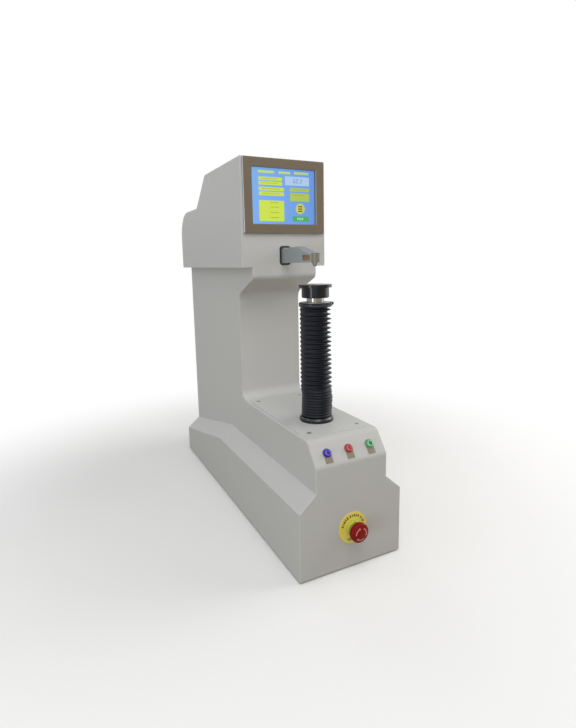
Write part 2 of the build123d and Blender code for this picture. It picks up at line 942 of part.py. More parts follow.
pin_overall = bracket_width + 2 * cheek_clearance
with BuildPart() as pivot_pin:
    with Locations((0, lever_y, lever_pivot_height)):
        Cylinder(pivot_pin_radius, pin_overall, rotation=(0, 90, 0))
    chamfer(pivot_pin.edges(), length=pin_chamfer)
publish(pivot_pin, "pivot_pin")

cell_bottom = lever_top + seat_gap
cell_top = cell_bottom + cell_height
ear_bottom = lever_bottom - seat_gap
ear_gap = lever_width + 2 * seat_gap
with BuildPart() as load_cell:
    with Locations((0, link_y, (cell_bottom + cell_top) / 2)):
        Box(cell_width, cell_width, cell_top - cell_bottom)
        # the slot that lets the cell flex
        Box(cell_width, ear_length, cell_slot, mode=Mode.SUBTRACT)
    for side in (-1, 1):
        with Locations((side * (ear_gap + ear_thickness) / 2, link_y, (ear_bottom + cell_bottom) / 2)):
            Box(ear_thickness, ear_length, cell_bottom - ear_bottom)
    with Locations((0, link_y, lever_pivot_height)):
        Cylinder(
            link_pin_radius + running_gap,
            cell_width,
            rotation=(0, 90, 0),
            mode=Mode.SUBTRACT,
        )
publish(load_cell, "load_cell")

with BuildPart() as link_pin:
    with Locations((0, link_y, lever_pivot_height)):
        Cylinder(
            link_pin_radius,
            ear_gap + 2 * ear_thickness + 2 * link_pin_end,
            rotation=(0, 90, 0),
        )
publish(link_pin, "link_pin")

drawbar_top = head_top - drawbar_headroom
with BuildPart() as drawbar:
    with Locations((0, link_y, (cell_top + drawbar_top) / 2)):
        Cylinder(drawbar_radius, drawbar_top - cell_top)
    chamfer(drawbar.edges().sort_by(Axis.Z)[-1], length=drawbar_chamfer)
publish(drawbar, "drawbar")

with BuildPart() as load_motor:
    with Locations((0, link_y, upper_arm_top + gearbox_height / 2)):
        Box(gearbox_size, gearbox_size, gearbox_height)
    with Locations((0, link_y, upper_arm_top + (gearbox_height + load_motor_height) / 2)):
        Box(load_motor_size, load_motor_size, load_motor_height - gearbox_height)
    fillet(load_motor.edges().filter_by(Axis.Z), radius=motor_rounding)
    with Locations((0, link_y, upper_arm_top + load_motor_height)):
        Hole(drawbar_radius + running_gap, depth=load_motor_height)
publish(load_motor, "load_motor")

# ------------------------------------------------------------------ load frame
pocket_low = arm_top + pocket_margin
pocket_high = upper_arm_bottom - pocket_margin
with BuildPart() as load_frame:
    with BuildSketch(Plane.YZ) as c_outline:
        with BuildLine():
            Polyline(
                (arm_front_y, plate_top),
                (frame_rear_y, plate_top),
                (frame_rear_y, upper_arm_top),
                (upper_front_y, upper_arm_top),
                (upper_front_y, upper_arm_bottom),
                (frame_column_y, upper_arm_bottom),
                (frame_column_y, arm_top),
                (arm_front_y, arm_top),
                close=True,
            )
        make_face()
        fillet(corner(c_outline, frame_column_y, upper_arm_bottom), radius=frame_radius)
        fillet(corner(c_outline, frame_column_y, arm_top), radius=frame_radius)
        fillet(corner(c_outline, frame_rear_y, upper_arm_top), radius=frame_radius)
    extrude(c_outline.sketch, amount=frame_width / 2, both=True)
    # wide foot of the casting
    with BuildSketch(Plane.XY.offset(plate_top)) as foot_outline:
        with Locations((0, (arm_front_y + frame_rear_y) / 2)):
            RectangleRounded(arm_width, frame_rear_y - arm_front_y, frame_radius)
    extrude(foot_outline.sketch, amount=arm_top - plate_top)
    # pockets on both sides of the column and of the upper arm leave a web with a rim
    with BuildSketch(Plane.YZ.offset(frame_width / 2)) as pockets:
        with Locations(((frame_column_y + frame_rear_y) / 2, (pocket_low + pocket_high) / 2)):
            RectangleRounded(
                frame_rear_y - frame_column_y - 2 * pocket_margin,
                pocket_high - pocket_low,
                pocket_radius,
            )
    extrude(pockets.sketch, amount=-pocket_depth, mode=Mode.SUBTRACT)
    mirrored_pocket = pockets.sketch.moved(Location((-frame_width, 0, 0)))
    extrude(mirrored_pocket, amount=pocket_depth, mode=Mode.SUBTRACT)
    # bore for the elevating screw, well for its motor, hole for the drawbar
    with Locations((0, axis_y, arm_top)):
        Hole(screw_bore_radius, depth=arm_top - plate_top)
    well_size = motor_size + 2 * motor_gap
    well_depth = motor_length + motor_gap
    with Locations((0, motor_y, arm_top - well_depth / 2)):
        Box(well_size, well_size, well_depth, mode=Mode.SUBTRACT)
    with Locations((0, link_y, upper_arm_top)):
        Hole(cell_width / 2, depth=upper_arm_top - upper_arm_bottom)
publish(load_frame, "load_frame")

# ------------------------------------------------------------------ base plate and feet
foot_x = half_plinth - foot_side_inset
foot_places = screw_places(foot_x, (foot_end_inset, base_length - foot_end_inset))
stud_top = plate_top + 2 * foot_nut_height
with BuildPart() as base_plate:
    with BuildSketch(Plane.XY.offset(plate_bottom)) as plate_outline:
        with Locations((0, (front_y + rear_y) / 2)):
            Rectangle(
                plinth_width - 2 * sheet - 2 * seat_gap,
                base_length - 2 * sheet - 2 * seat_gap,
            )
        with Locations(foot_places):
            Circle(foot_stud_radius + running_gap, mode=Mode.SUBTRACT)
    extrude(plate_outline.sketch, amount=plate_thickness)
publish(base_plate, "base_plate")

with BuildPart() as levelling_feet:
    for x, y in foot_places:
        with BuildSketch(Plane.XZ.offset(-y)) as half:
            with BuildLine():
                Polyline(
                    (x, 0),
                    (x + foot_pad_radius, 0),
                    (x + foot_neck_radius, plate_bottom),
                    (x + foot_stud_radius, plate_bottom),
                    (x + foot_stud_radius, stud_top),
                    (x, stud_top),
                    close=True,
                )
            make_face()
        revolve(half.sketch, axis=Axis((x, y, 0), (0, 0, 1)))
        with BuildSketch(Plane.XY.offset(plate_top)) as foot_nut:
            with Locations((x, y)):
                RegularPolygon(foot_neck_radius, 6)
        extrude(foot_nut.sketch, amount=foot_nut_height)
publish(levelling_feet, "levelling_feet")

# ------------------------------------------------------------------ elevating screw and anvil
axis_line = Axis((0, axis_y, 0), (0, 0, 1))


def turned(points, name):
    """A piece turned about the test axis from its half profile, given as radius and height."""
    with BuildPart() as piece:
        with BuildSketch(Plane.XZ.offset(-axis_y)) as half:
            with BuildLine():
                Polyline(*points, close=True)
            make_face()
        revolve(half.sketch, axis=axis_line)
    piece.part.label = name
    return piece


socket_bottom = anvil_bottom - anvil_stub_length
elevating_screw = turned(
    [
        (0, screw_bottom),
        (screw_radius - screw_edge, screw_bottom),
        (screw_radius, screw_bottom + screw_edge),
        (screw_radius, collar_bottom),
        (screw_neck_radius, collar_bottom),
        (screw_neck_radius, anvil_bottom - running_gap),
        (anvil_stub_radius + running_gap, anvil_bottom - running_gap),
        (anvil_stub_radius + running_gap, socket_bottom - screw_edge),
        (0, socket_bottom - screw_edge),
    ],
    "elevating_screw",
)
publish(elevating_screw, "elevating_screw")

rim_bottom = anvil_top - anvil_rim
anvil = turned(
    [
        (0, socket_bottom),
        (anvil_stub_radius, socket_bottom),
        (anvil_stub_radius, anvil_bottom),
        (anvil_body_radius - anvil_edge, anvil_bottom),
        (anvil_body_radius, anvil_bottom + anvil_edge),
        (anvil_body_radius, rim_bottom),
        (anvil_radius, rim_bottom),
        (anvil_radius, anvil_top - seat_gap),
        (anvil_radius - seat_gap, anvil_top),
        (0, anvil_top),
    ],
    "anvil",
)
publish(anvil, "anvil")

bellows_collar = turned(
    [
        (screw_neck_radius + running_gap, collar_bottom),
        (collar_radius, collar_bottom),
        (collar_radius, collar_top),
        (screw_neck_radius + running_gap, collar_top),
    ],
    "bellows_collar",
)
publish(bellows_collar, "bellows_collar")

bellows_bottom_ring = turned(
    [
        (table_hole_radius, table_top),
        (base_ring_radius, table_top),
        (base_ring_radius, ring_top - base_ring_edge),
        (base_ring_radius - base_ring_edge, ring_top),
        (table_hole_radius, ring_top),
    ],
    "bellows_bottom_ring",
)
publish(bellows_bottom_ring, "bellows_bottom_ring")

# The bellows: folds between a crest and a root, with a cuff round the collar at the top.
cuff_top = collar_top - 2 * seat_gap
fold_start = ring_top + seat_gap
fold_end = collar_bottom - sheet
fold_pitch = (fold_end - fold_start) / bellows_folds
fold_points = []
for fold in range(bellows_folds):
    fold_low = fold_start + fold * fold_pitch
    fold_points.append((bellows_root_radius, fold_low))
    fold_points.append((bellows_radius, fold_low + fold_pitch / 2))
cuff_radius = collar_radius + bellows_cuff
bellows = turned(
    [(bellows_bore_radius, fold_start)]
    + fold_points
    + [
        (bellows_root_radius, fold_end),
        (cuff_radius, fold_end),
        (cuff_radius, cuff_top),
        (collar_radius + seat_gap, cuff_top),
        (collar_radius + seat_gap, collar_bottom - seat_gap),
        (bellows_bore_radius, collar_bottom - seat_gap),
    ],
    "bellows",
)
publish(bellows, "bellows")

clamp_top = collar_top - clamp_drop
clamp_bottom = clamp_top - clamp_height
clamp_inner = cuff_radius + running_gap
clamp_outer = clamp_inner + clamp_thickness
with BuildPart() as bellows_clamp:
    with BuildSketch(Plane.XY.offset(clamp_bottom)) as band:
        with Locations((0, axis_y)):
            Circle(clamp_outer)
            Circle(clamp_inner, mode=Mode.SUBTRACT)
    extrude(band.sketch, amount=clamp_height)
    with BuildSketch(Plane.XY.offset(clamp_bottom - clamp_thickness / 2)) as housing:
        with Locations((clamp_inner + tail_length / 2 + seat_gap, axis_y)):
            RectangleRounded(tail_length, tail_width, clamp_thickness)
    extrude(housing.sketch, amount=clamp_height + clamp_thickness)
publish(bellows_clamp, "bellows_clamp")

# ------------------------------------------------------------------ lift drive
bearing_race = screw_bore_radius + race_clearance
thrust_bearing = turned(
    [
        (bearing_race, arm_top),
        (bearing_radius, arm_top),
        (bearing_radius, arm_top + bearing_height / 2 - bearing_groove / 2),
        (bearing_radius - bearing_groove, arm_top + bearing_height / 2 - bearing_groove / 2),
        (bearing_radius - bearing_groove, arm_top + bearing_height / 2 + bearing_groove / 2),
        (bearing_radius, arm_top + bearing_height / 2 + bearing_groove / 2),
        (bearing_radius, bearing_top),
        (bearing_race, bearing_top),
    ],
    "thrust_bearing",
)
publish(thrust_bearing, "thrust_bearing")

lift_nut = turned(
    [
        (screw_radius + running_gap, nut_bottom),
        (bearing_radius, nut_bottom),
        (bearing_radius, pulley_bottom),
        (nut_radius, pulley_bottom),
        (nut_radius, nut_top),
        (screw_radius + running_gap, nut_top),
    ],
    "lift_nut",
)
publish(lift_nut, "lift_nut")


def pulley(x, y, radius, bore, name):
    """A toothed belt's pulley, shown as its pitch cylinder between two flanges."""
    with BuildPart() as wheel:
        with Locations((x, y, (pulley_bottom + pulley_top) / 2)):
            Cylinder(radius, pulley_width)
        for z in (pulley_bottom + pulley_flange / 2, pulley_top - pulley_flange / 2):
            with Locations((x, y, z)):
                Cylinder(radius + belt_thickness, pulley_flange)
        if bore:
            with Locations((x, y, pulley_top)):
                Hole(bore, depth=pulley_width)
    wheel.part.label = name
    return wheel


nut_pulley = pulley(0, axis_y, nut_pulley_radius, nut_radius + running_gap, "nut_pulley")
publish(nut_pulley, "nut_pulley")

motor_pulley = pulley(0, motor_y, motor_pulley_radius, 0, "motor_pulley")
shaft_bottom = arm_top - motor_shaft_inside
with BuildPart() as motor_shaft:
    with Locations((0, motor_y, (shaft_bottom + pulley_bottom) / 2)):
        Cylinder(motor_shaft_radius, pulley_bottom - shaft_bottom)
publish(motor_pulley, "motor_pulley")
publish(motor_shaft, "motor_shaft")

belt_bottom = pulley_bottom + pulley_flange + seat_gap
belt_width = pulley_width - 2 * pulley_flange - 2 * seat_gap


def belt_loop(grow):
    """Plan of the belt's run round both pulleys, grown outwards by a distance."""
    with BuildSketch(Plane.XY.offset(belt_bottom)) as loop:
        with Locations((0, axis_y)):
            Circle(nut_pulley_radius + grow)
        with Locations((0, motor_y)):
            Circle(motor_pulley_radius + grow)
        make_hull()
    return loop.sketch


with BuildPart() as drive_belt:
    extrude(belt_loop(seat_gap + belt_thickness), amount=belt_width)
    extrude(belt_loop(seat_gap), amount=belt_width, mode=Mode.SUBTRACT)
publish(drive_belt, "drive_belt")

with BuildPart() as nut_housing:
    with Locations((0, axis_y, (arm_top + deck_top) / 2)):
        Box(arm_width, housing_leg_depth, deck_top - arm_top)
    with Locations((0, axis_y, (arm_top + deck_bottom) / 2)):
        Box(housing_leg_gap, housing_leg_depth, deck_bottom - arm_top, mode=Mode.SUBTRACT)
    fillet(nut_housing.edges().filter_by(Axis.Y).group_by(Axis.Z)[-1], radius=housing_rounding)
    with Locations((0, axis_y, (deck_top + table_bottom) / 2)):
        Cylinder(housing_hub_radius, table_bottom - deck_top)
    with Locations((0, axis_y, table_bottom)):
        Hole(nut_radius + running_gap, depth=table_bottom - deck_bottom)
publish(nut_housing, "nut_housing")

with BuildPart() as motor_plate:
    with BuildSketch(Plane.XY.offset(arm_top)) as plate_plan:
        with Locations((0, motor_y)):
            RectangleRounded(
                well_size + 2 * motor_plate_side,
                well_size + 2 * motor_plate_end,
                motor_rounding,
            )
            Circle(motor_pilot_radius + running_gap, mode=Mode.SUBTRACT)
    extrude(plate_plan.sketch, amount=motor_plate_thickness)
publish(motor_plate, "motor_plate")

with BuildPart() as lift_motor:
    with Locations((0, motor_y, arm_top - motor_length / 2)):
        Box(motor_size, motor_size, motor_length)
    fillet(lift_motor.edges().filter_by(Axis.Z), radius=motor_rounding)
    with Locations((0, motor_y, arm_top + motor_pilot_height / 2)):
        Cylinder(motor_pilot_radius, motor_pilot_height)
    with Locations((0, motor_y, arm_top + motor_pilot_height)):
        Hole(
            motor_shaft_radius + running_gap,
            depth=motor_pilot_height + motor_shaft_inside + seat_gap,
        )
publish(lift_motor, "lift_motor")

# ------------------------------------------------------------------ emergency stop
stop_axis = Axis((0, front_y, estop_height), (0, 1, 0))


def stop_turned(points, name):
    """A piece of the emergency stop, turned from radius and distance in front of the panel."""
    with BuildPart() as piece:
        with BuildSketch(Plane.YZ) as half:
            with BuildLine():
                Polyline(*[(front_y - ahead, estop_height + r) for r, ahead in points], close=True)
            make_face()
        revolve(half.sketch, axis=stop_axis)
    piece.part.label = name
    return piece


legend_bore = estop_barrel_radius + running_gap
estop_legend = stop_turned(
    [
        (legend_bore, 0),
        (legend_radius, 0),
        (legend_radius, legend_thickness),
        (legend_bore, legend_thickness),
    ],
    "estop_legend",
)
publish(estop_legend, "estop_legend")

collar_front = legend_thickness + estop_collar_height
plunger_bore = plunger_radius + seat_gap
estop_body = stop_turned(
    [
        (plunger_bore, collar_front),
        (estop_collar_radius - estop_collar_edge, collar_front),
        (estop_collar_radius, collar_front - estop_collar_edge),
        (estop_collar_radius, legend_thickness),
        (estop_barrel_radius, legend_thickness),
        (estop_barrel_radius, -estop_barrel_length),
        (plunger_bore, -estop_barrel_length),
    ],
    "estop_body",
)
publish(estop_body, "estop_body")

estop_nut = stop_turned(
    [
        (estop_barrel_radius + running_gap, -sheet),
        (estop_collar_radius, -sheet),
        (estop_collar_radius, -sheet - estop_nut_height),
        (estop_barrel_radius + running_gap, -sheet - estop_nut_height),
    ],
    "estop_nut",
)
publish(estop_nut, "estop_nut")

contact_front = -estop_barrel_length
plunger_inside = contact_front + estop_travel + seat_gap
mushroom_socket = mushroom_back + plunger_engagement
estop_plunger = stop_turned(
    [
        (0, plunger_inside),
        (plunger_radius, plunger_inside),
        (plunger_radius, mushroom_socket),
        (0, mushroom_socket),
    ],
    "estop_plunger",
)
publish(estop_plunger, "estop_plunger")

with BuildPart() as contact_block:
    with Locations((0, front_y - contact_front + contact_block_depth / 2, estop_height)):
        Box(contact_block_width, contact_block_depth, contact_block_height)
    fillet(contact_block.edges().filter_by(Axis.Y), radius=contact_block_rounding)
publish(contact_block, "contact_block")

dome_start = mushroom_front - mushroom_dome
socket_end = mushroom_socket + seat_gap
estop_mushroom = stop_turned(
    [
        (0, socket_end),
        (plunger_radius + running_gap, socket_end),
        (plunger_radius + running_gap, mushroom_back),
        (mushroom_radius - mushroom_edge, mushroom_back),
        (mushroom_radius, mushroom_back + mushroom_edge),
        (mushroom_radius, dome_start),
        (mushroom_radius - mushroom_edge, mushroom_front - mushroom_dome / 4),
        (mushroom_radius / 2, mushroom_front),
        (0, mushroom_front),
    ],
    "estop_mushroom",
)
publish(estop_mushroom, "estop_mushroom")

# ------------------------------------------------------------------ push-buttons
def button_turned(place, points):
    """Turned pieces on a button's axis, from radius and distance out of the tilted panel."""
    plane = slant_plane(place, button_climb)
    side_plane = Plane(origin=plane.origin, x_dir=(1, 0, 0), z_dir=plane.y_dir)
    with BuildSketch(side_plane) as half:
        with BuildLine():
            Polyline(*[(r, -out) for r, out in points], close=True)
        make_face()
    return revolve(half.sketch, axis=Axis(plane.origin, plane.z_dir), mode=Mode.PRIVATE)


cap_bore = button_cap_radius + seat_gap
flange_front = label_thickness + button_flange_thickness
cap_back = flange_front - button_cap_depth
floor_front = cap_back - button_travel - seat_gap
body_profile = [
    (cap_bore, flange_front),
    (button_flange_radius, flange_front),
    (button_flange_radius, label_thickness),
    (button_barrel_radius, label_thickness),
    (button_barrel_radius, -button_barrel_length),
    (0, -button_barrel_length),
    (0, floor_front),
    (cap_bore, floor_front),
]
cap_front = flange_front + button_proud
cap_profile = [
    (0, cap_front),
    (button_cap_radius - button_cap_edge, cap_front),
    (button_cap_radius, cap_front - button_cap_edge),
    (button_cap_radius, cap_back),
    (0, cap_back),
]
with BuildPart() as button_bodies:
    for place in button_places:
        add(button_turned(place, body_profile))
publish(button_bodies, "button_bodies")

for colour, place in zip(("blue", "red", "green"), button_places):
    with BuildPart() as button_cap:
        add(button_turned(place, cap_profile))
    publish(button_cap, f"button_{colour}")

with BuildPart() as button_labels:
    for place in button_places:
        with BuildSketch(slant_plane(place, button_climb)) as label_outline:
            Circle(label_ring_radius)
            with Locations((0, -label_drop / 2)):
                Rectangle(label_width, label_drop)
            Circle(button_barrel_radius + running_gap, mode=Mode.SUBTRACT)
        extrude(label_outline.sketch, amount=label_thickness)
publish(button_labels, "button_labels")

# ------------------------------------------------------------------ mains inlet and rocker
socket_middle = inlet_low + inlet_border + socket_height / 2
rocker_middle = inlet_low + inlet_height - inlet_border - rocker_height / 2
socket_floor = rear_y + inlet_flange - socket_depth
with BuildPart() as mains_inlet:
    with BuildSketch(Plane.XZ.offset(-rear_y)) as inlet_face:
        with Locations((inlet_x, inlet_middle)):
            RectangleRounded(inlet_width, inlet_height, inlet_flange)
    extrude(inlet_face.sketch, amount=-inlet_flange)
    with BuildSketch(Plane.XZ.offset(-rear_y)) as inlet_body:
        with Locations((inlet_x, inlet_middle)):
            Rectangle(
                inlet_width - 2 * inlet_flange - 2 * seat_gap,
                inlet_height - 2 * inlet_flange - 2 * seat_gap,
            )
    extrude(inlet_body.sketch, amount=inlet_body_depth)
    with BuildSketch(Plane.XZ.offset(-rear_y - inlet_flange)) as socket_opening:
        with Locations((inlet_x, socket_middle)):
            Rectangle(socket_width, socket_height)
        upper_corners = socket_opening.vertices().group_by(Axis.Y)[-1]
        chamfer(upper_corners, length=socket_chamfer)
    extrude(socket_opening.sketch, amount=socket_depth, mode=Mode.SUBTRACT)
    pin_places = [(0, pin_rise), (-pin_spread, -pin_fall), (pin_spread, -pin_fall)]
    with BuildSketch(Plane.XZ.offset(-socket_floor)) as pins:
        with Locations([(inlet_x + x, socket_middle + z) for x, z in pin_places]):
            Rectangle(pin_width, pin_height)
    extrude(pins.sketch, amount=-pin_length)
    with BuildSketch(Plane.XZ.offset(-rear_y - inlet_flange)) as rocker_window:
        with Locations((inlet_x, rocker_middle)):
            Rectangle(rocker_width + 2 * seat_gap, rocker_height + 2 * rocker_end_gap)
    extrude(rocker_window.sketch, amount=socket_depth, mode=Mode.SUBTRACT)
publish(mains_inlet, "mains_inlet")

# The rocker at rest is pressed in at the bottom; its pivot lies on the flange's face.
rocker_pivot_y = rear_y
rocker_half = rocker_height / 2 * cos(radians(rocker_tilt))
rocker_rise = rocker_height / 2 * sin(radians(2 * rocker_tilt))
rocker_back_y = rocker_pivot_y - rocker_depth
with BuildPart() as power_rocker:
    with BuildSketch(Plane.YZ.offset(inlet_x)) as rocker_side:
        with BuildLine():
            Polyline(
                (rocker_pivot_y + inlet_flange, rocker_middle - rocker_half),
                (rocker_pivot_y + inlet_flange, rocker_middle),
                (rocker_pivot_y + inlet_flange + rocker_rise, rocker_middle + rocker_half),
                (rocker_pivot_y - inlet_flange, rocker_middle + rocker_half),
                (rocker_back_y, rocker_middle + rocker_half / 3),
                (rocker_back_y, rocker_middle - rocker_half / 3),
                (rocker_pivot_y - inlet_flange, rocker_middle - rocker_half),
                close=True,
            )
        make_face()
        with Locations((rocker_pivot_y, rocker_middle)):
            Circle(rocker_height / 2 + seat_gap, mode=Mode.INTERSECT)
    extrude(rocker_side.sketch, amount=rocker_width / 2, both=True)
publish(power_rocker, "power_rocker")

with BuildPart() as rear_cover_screws:
    for x, z in rear_screw_places:
        with Locations((x, rear_y + cover_screw_rise / 2, z)):
            Cylinder(cover_screw_radius, cover_screw_rise, rotation=(90, 0, 0))
publish(rear_cover_screws, "rear_cover_screws")

# ------------------------------------------------------------------ electrics
bay_width = half_plinth - sheet - arm_width / 2
bay_middle = (half_plinth - sheet + arm_width / 2) / 2
unit_width = bay_width - 2 * bay_clearance
supply_y = front_y + supply_front_depth + supply_length / 2
with BuildPart() as power_supply:
    with Locations((bay_middle, supply_y, plate_top + supply_height / 2)):
        Box(unit_width, supply_length, supply_height)
    fillet(power_supply.edges().filter_by(Axis.Y), radius=supply_rounding)
publish(power_supply, "power_supply")

driver_y = front_y + supply_front_depth - driver_length / 2
fin_pitch = driver_length / (fin_count + 1)
with BuildPart() as motor_driver:
    with Locations((-bay_middle, driver_y, plate_top + driver_height / 2)):
        Box(unit_width, driver_length, driver_height)
    with Locations((-bay_middle, driver_y, plate_top + driver_height)):
        with GridLocations(0, fin_pitch, 1, fin_count):
            Box(unit_width, fin_pitch / 2, fin_height, mode=Mode.SUBTRACT)
publish(motor_driver, "motor_driver")

board_front_y = upper_front_y + board_margin
board_back_y = link_y - gearbox_size / 2 - board_margin
board_length = board_back_y - board_front_y
board_y = (board_front_y + board_back_y) / 2
board_bottom = upper_arm_top + standoff_height
standoff_span = board_width - 2 * standoff_inset
with BuildPart() as control_board:
    with Locations((0, board_y, board_bottom + board_thickness / 2)):
        Box(board_width, board_length, board_thickness)
    with Locations((0, board_y, board_bottom + board_thickness + chip_height / 2)):
        with GridLocations(chip_pitch, chip_pitch, 2, 2):
            Box(chip_size, chip_size, chip_height)
    with BuildSketch(Plane.XY.offset(upper_arm_top)) as standoffs:
        with Locations((0, board_y)):
            with GridLocations(standoff_span, board_length - 2 * standoff_inset, 2, 2):
                RegularPolygon(standoff_radius, 6)
    extrude(standoffs.sketch, amount=standoff_height)
publish(control_board, "control_board")
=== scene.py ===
import math
import random

import bpy
from mathutils import Matrix, Vector


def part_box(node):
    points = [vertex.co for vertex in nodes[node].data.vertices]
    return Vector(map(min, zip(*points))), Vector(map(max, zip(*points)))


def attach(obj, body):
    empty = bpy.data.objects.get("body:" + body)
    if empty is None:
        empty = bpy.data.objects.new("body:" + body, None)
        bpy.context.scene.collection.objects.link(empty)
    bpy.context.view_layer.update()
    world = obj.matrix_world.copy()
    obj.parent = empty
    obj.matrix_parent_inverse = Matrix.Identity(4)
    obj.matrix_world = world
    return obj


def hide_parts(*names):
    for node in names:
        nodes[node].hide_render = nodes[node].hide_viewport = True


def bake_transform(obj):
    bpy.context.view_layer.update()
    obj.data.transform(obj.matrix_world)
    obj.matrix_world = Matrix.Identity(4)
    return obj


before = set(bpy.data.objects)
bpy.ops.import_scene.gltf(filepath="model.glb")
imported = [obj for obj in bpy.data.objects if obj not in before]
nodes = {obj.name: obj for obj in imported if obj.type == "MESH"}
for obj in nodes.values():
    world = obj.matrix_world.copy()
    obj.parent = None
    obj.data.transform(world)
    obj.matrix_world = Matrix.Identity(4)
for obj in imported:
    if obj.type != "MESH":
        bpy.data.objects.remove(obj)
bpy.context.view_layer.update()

MM = 0.001

# ------------------------------------------------------------------ studio
# A plain pale floor and a white surround. The camera stands to the front left of the
# machine at eye height and looks a little down on the table.
FRAME_WIDTH, FRAME_HEIGHT = 576, 728
FOCAL_PIXELS = 475.23
CENTRE_X, CENTRE_Y = 283.63, 339.72
CAMERA_PLACE = Vector((-0.4360, -0.9621, 0.5292))
CAMERA_AZIMUTH = math.radians(-26.18)
CAMERA_ELEVATION = math.radians(9.23)
CAMERA_ROLL = math.radians(-1.2)

camera_data = bpy.data.cameras.new("camera")
camera = bpy.data.objects.new("camera", camera_data)
bpy.context.scene.collection.objects.link(camera)
bpy.context.scene.camera = camera
backward = Vector((
    math.sin(CAMERA_AZIMUTH) * math.cos(CAMERA_ELEVATION),
    -math.cos(CAMERA_AZIMUTH) * math.cos(CAMERA_ELEVATION),
    math.sin(CAMERA_ELEVATION),
))
level_view = backward.to_track_quat("Z", "Y").to_matrix()
camera.rotation_euler = (level_view @ Matrix.Rotation(CAMERA_ROLL, 3, "Z")).to_euler()
camera.location = CAMERA_PLACE
camera_data.lens = FOCAL_PIXELS / FRAME_HEIGHT * camera_data.sensor_width
camera_data.shift_x = (FRAME_WIDTH / 2 - CENTRE_X) / FRAME_HEIGHT
camera_data.shift_y = (CENTRE_Y - FRAME_HEIGHT / 2) / FRAME_HEIGHT
camera_data.clip_start = 0.05
bpy.context.scene.view_settings.view_transform = "Standard"

# The floor is white to the eye and darker to the light that it throws back on the machine.
# Away from the machine it fades into the white surround.
FLOOR_SIZE = 12.0
FLOOR_SEEN = (0.96, 0.96, 0.96, 1)
FLOOR_BOUNCE = (0.38, 0.34, 0.27, 1)
FADE_START, FADE_END = 0.4, 1.05
bpy.ops.object.select_all(action="DESELECT")
bpy.ops.mesh.primitive_plane_add(size=FLOOR_SIZE, location=(0, 0, 0))
floor = bpy.context.object
floor.name = "studio_floor"
floor_paint = bpy.data.materials.new("pale_floor")
floor_paint.use_nodes = True
floor_tree = floor_paint.node_tree
floor_shader = floor_tree.nodes["Principled BSDF"]
floor_shader.inputs["Roughness"].default_value = 0.9
floor_shader.inputs["Specular IOR Level"].default_value = 0.1
floor_ray = floor_tree.nodes.new("ShaderNodeLightPath")
floor_tone = floor_tree.nodes.new("ShaderNodeMix")
floor_tone.data_type = "RGBA"
floor_tone.inputs["A"].default_value = FLOOR_BOUNCE
floor_tone.inputs["B"].default_value = FLOOR_SEEN
floor_seen = floor_tree.nodes.new("ShaderNodeMath")
floor_seen.operation = "MAXIMUM"
floor_where = floor_tree.nodes.new("ShaderNodeTexCoord")
floor_reach = floor_tree.nodes.new("ShaderNodeVectorMath")
floor_reach.operation = "LENGTH"
floor_fade = floor_tree.nodes.new("ShaderNodeMapRange")
floor_fade.interpolation_type = "SMOOTHSTEP"
floor_fade.inputs["From Min"].default_value = FADE_START
floor_fade.inputs["From Max"].default_value = FADE_END
floor_share = floor_tree.nodes.new("ShaderNodeMath")
floor_share.operation = "MULTIPLY"
floor_white = floor_tree.nodes.new("ShaderNodeEmission")
floor_mix = floor_tree.nodes.new("ShaderNodeMixShader")
floor_link = floor_tree.links.new
floor_link(floor_ray.outputs["Is Camera Ray"], floor_seen.inputs[0])
floor_link(floor_ray.outputs["Is Glossy Ray"], floor_seen.inputs[1])
floor_link(floor_seen.outputs[0], floor_tone.inputs["Factor"])
floor_link(floor_tone.outputs["Result"], floor_shader.inputs["Base Color"])
floor_link(floor_where.outputs["Object"], floor_reach.inputs[0])
floor_link(floor_reach.outputs["Value"], floor_fade.inputs["Value"])
floor_link(floor_fade.outputs[0], floor_share.inputs[0])
floor_link(floor_seen.outputs[0], floor_share.inputs[1])
floor_link(floor_share.outputs[0], floor_mix.inputs[0])
floor_link(floor_shader.outputs[0], floor_mix.inputs[1])
floor_link(floor_white.outputs[0], floor_mix.inputs[2])
floor_link(floor_mix.outputs[0], floor_tree.nodes["Material Output"].inputs["Surface"])
floor.data.materials.append(floor_paint)

AMBIENT = 0.34
world = bpy.data.worlds.new("studio")
bpy.context.scene.world = world
world.use_nodes = True
sky_nodes = world.node_tree.nodes
sky_links = world.node_tree.links
sky = sky_nodes["Background"]
sky.inputs["Color"].default_value = (1, 1, 1, 1)
ray = sky_nodes.new("ShaderNodeLightPath")
seen = sky_nodes.new("ShaderNodeMath")
seen.operation = "MAXIMUM"
shone = sky_nodes.new("ShaderNodeMath")
shone.operation = "MAXIMUM"
strength = sky_nodes.new("ShaderNodeMapRange")
strength.inputs["To Min"].default_value = AMBIENT
strength.inputs["To Max"].default_value = 1.0
sky_links.new(ray.outputs["Is Camera Ray"], seen.inputs[0])
sky_links.new(ray.outputs["Is Glossy Ray"], seen.inputs[1])
sky_links.new(seen.outputs[0], shone.inputs[0])
sky_links.new(ray.outputs["Is Transmission Ray"], shone.inputs[1])
sky_links.new(shone.outputs[0], strength.inputs["Value"])
sky_links.new(strength.outputs[0], sky.inputs["Strength"])


def soft_lamp(name, place, aim, size, power, glow):
    """A square soft box that points at a place on the machine."""
    lamp_data = bpy.data.lights.new(name, "AREA")
    lamp_data.size = size
    lamp_data.energy = power
    lamp_data.color = glow
    lamp = bpy.data.objects.new(name, lamp_data)
    bpy.context.scene.collection.objects.link(lamp)
    lamp.location = place
    lamp.rotation_euler = (Vector(place) - Vector(aim)).to_track_quat("Z", "Y").to_euler()


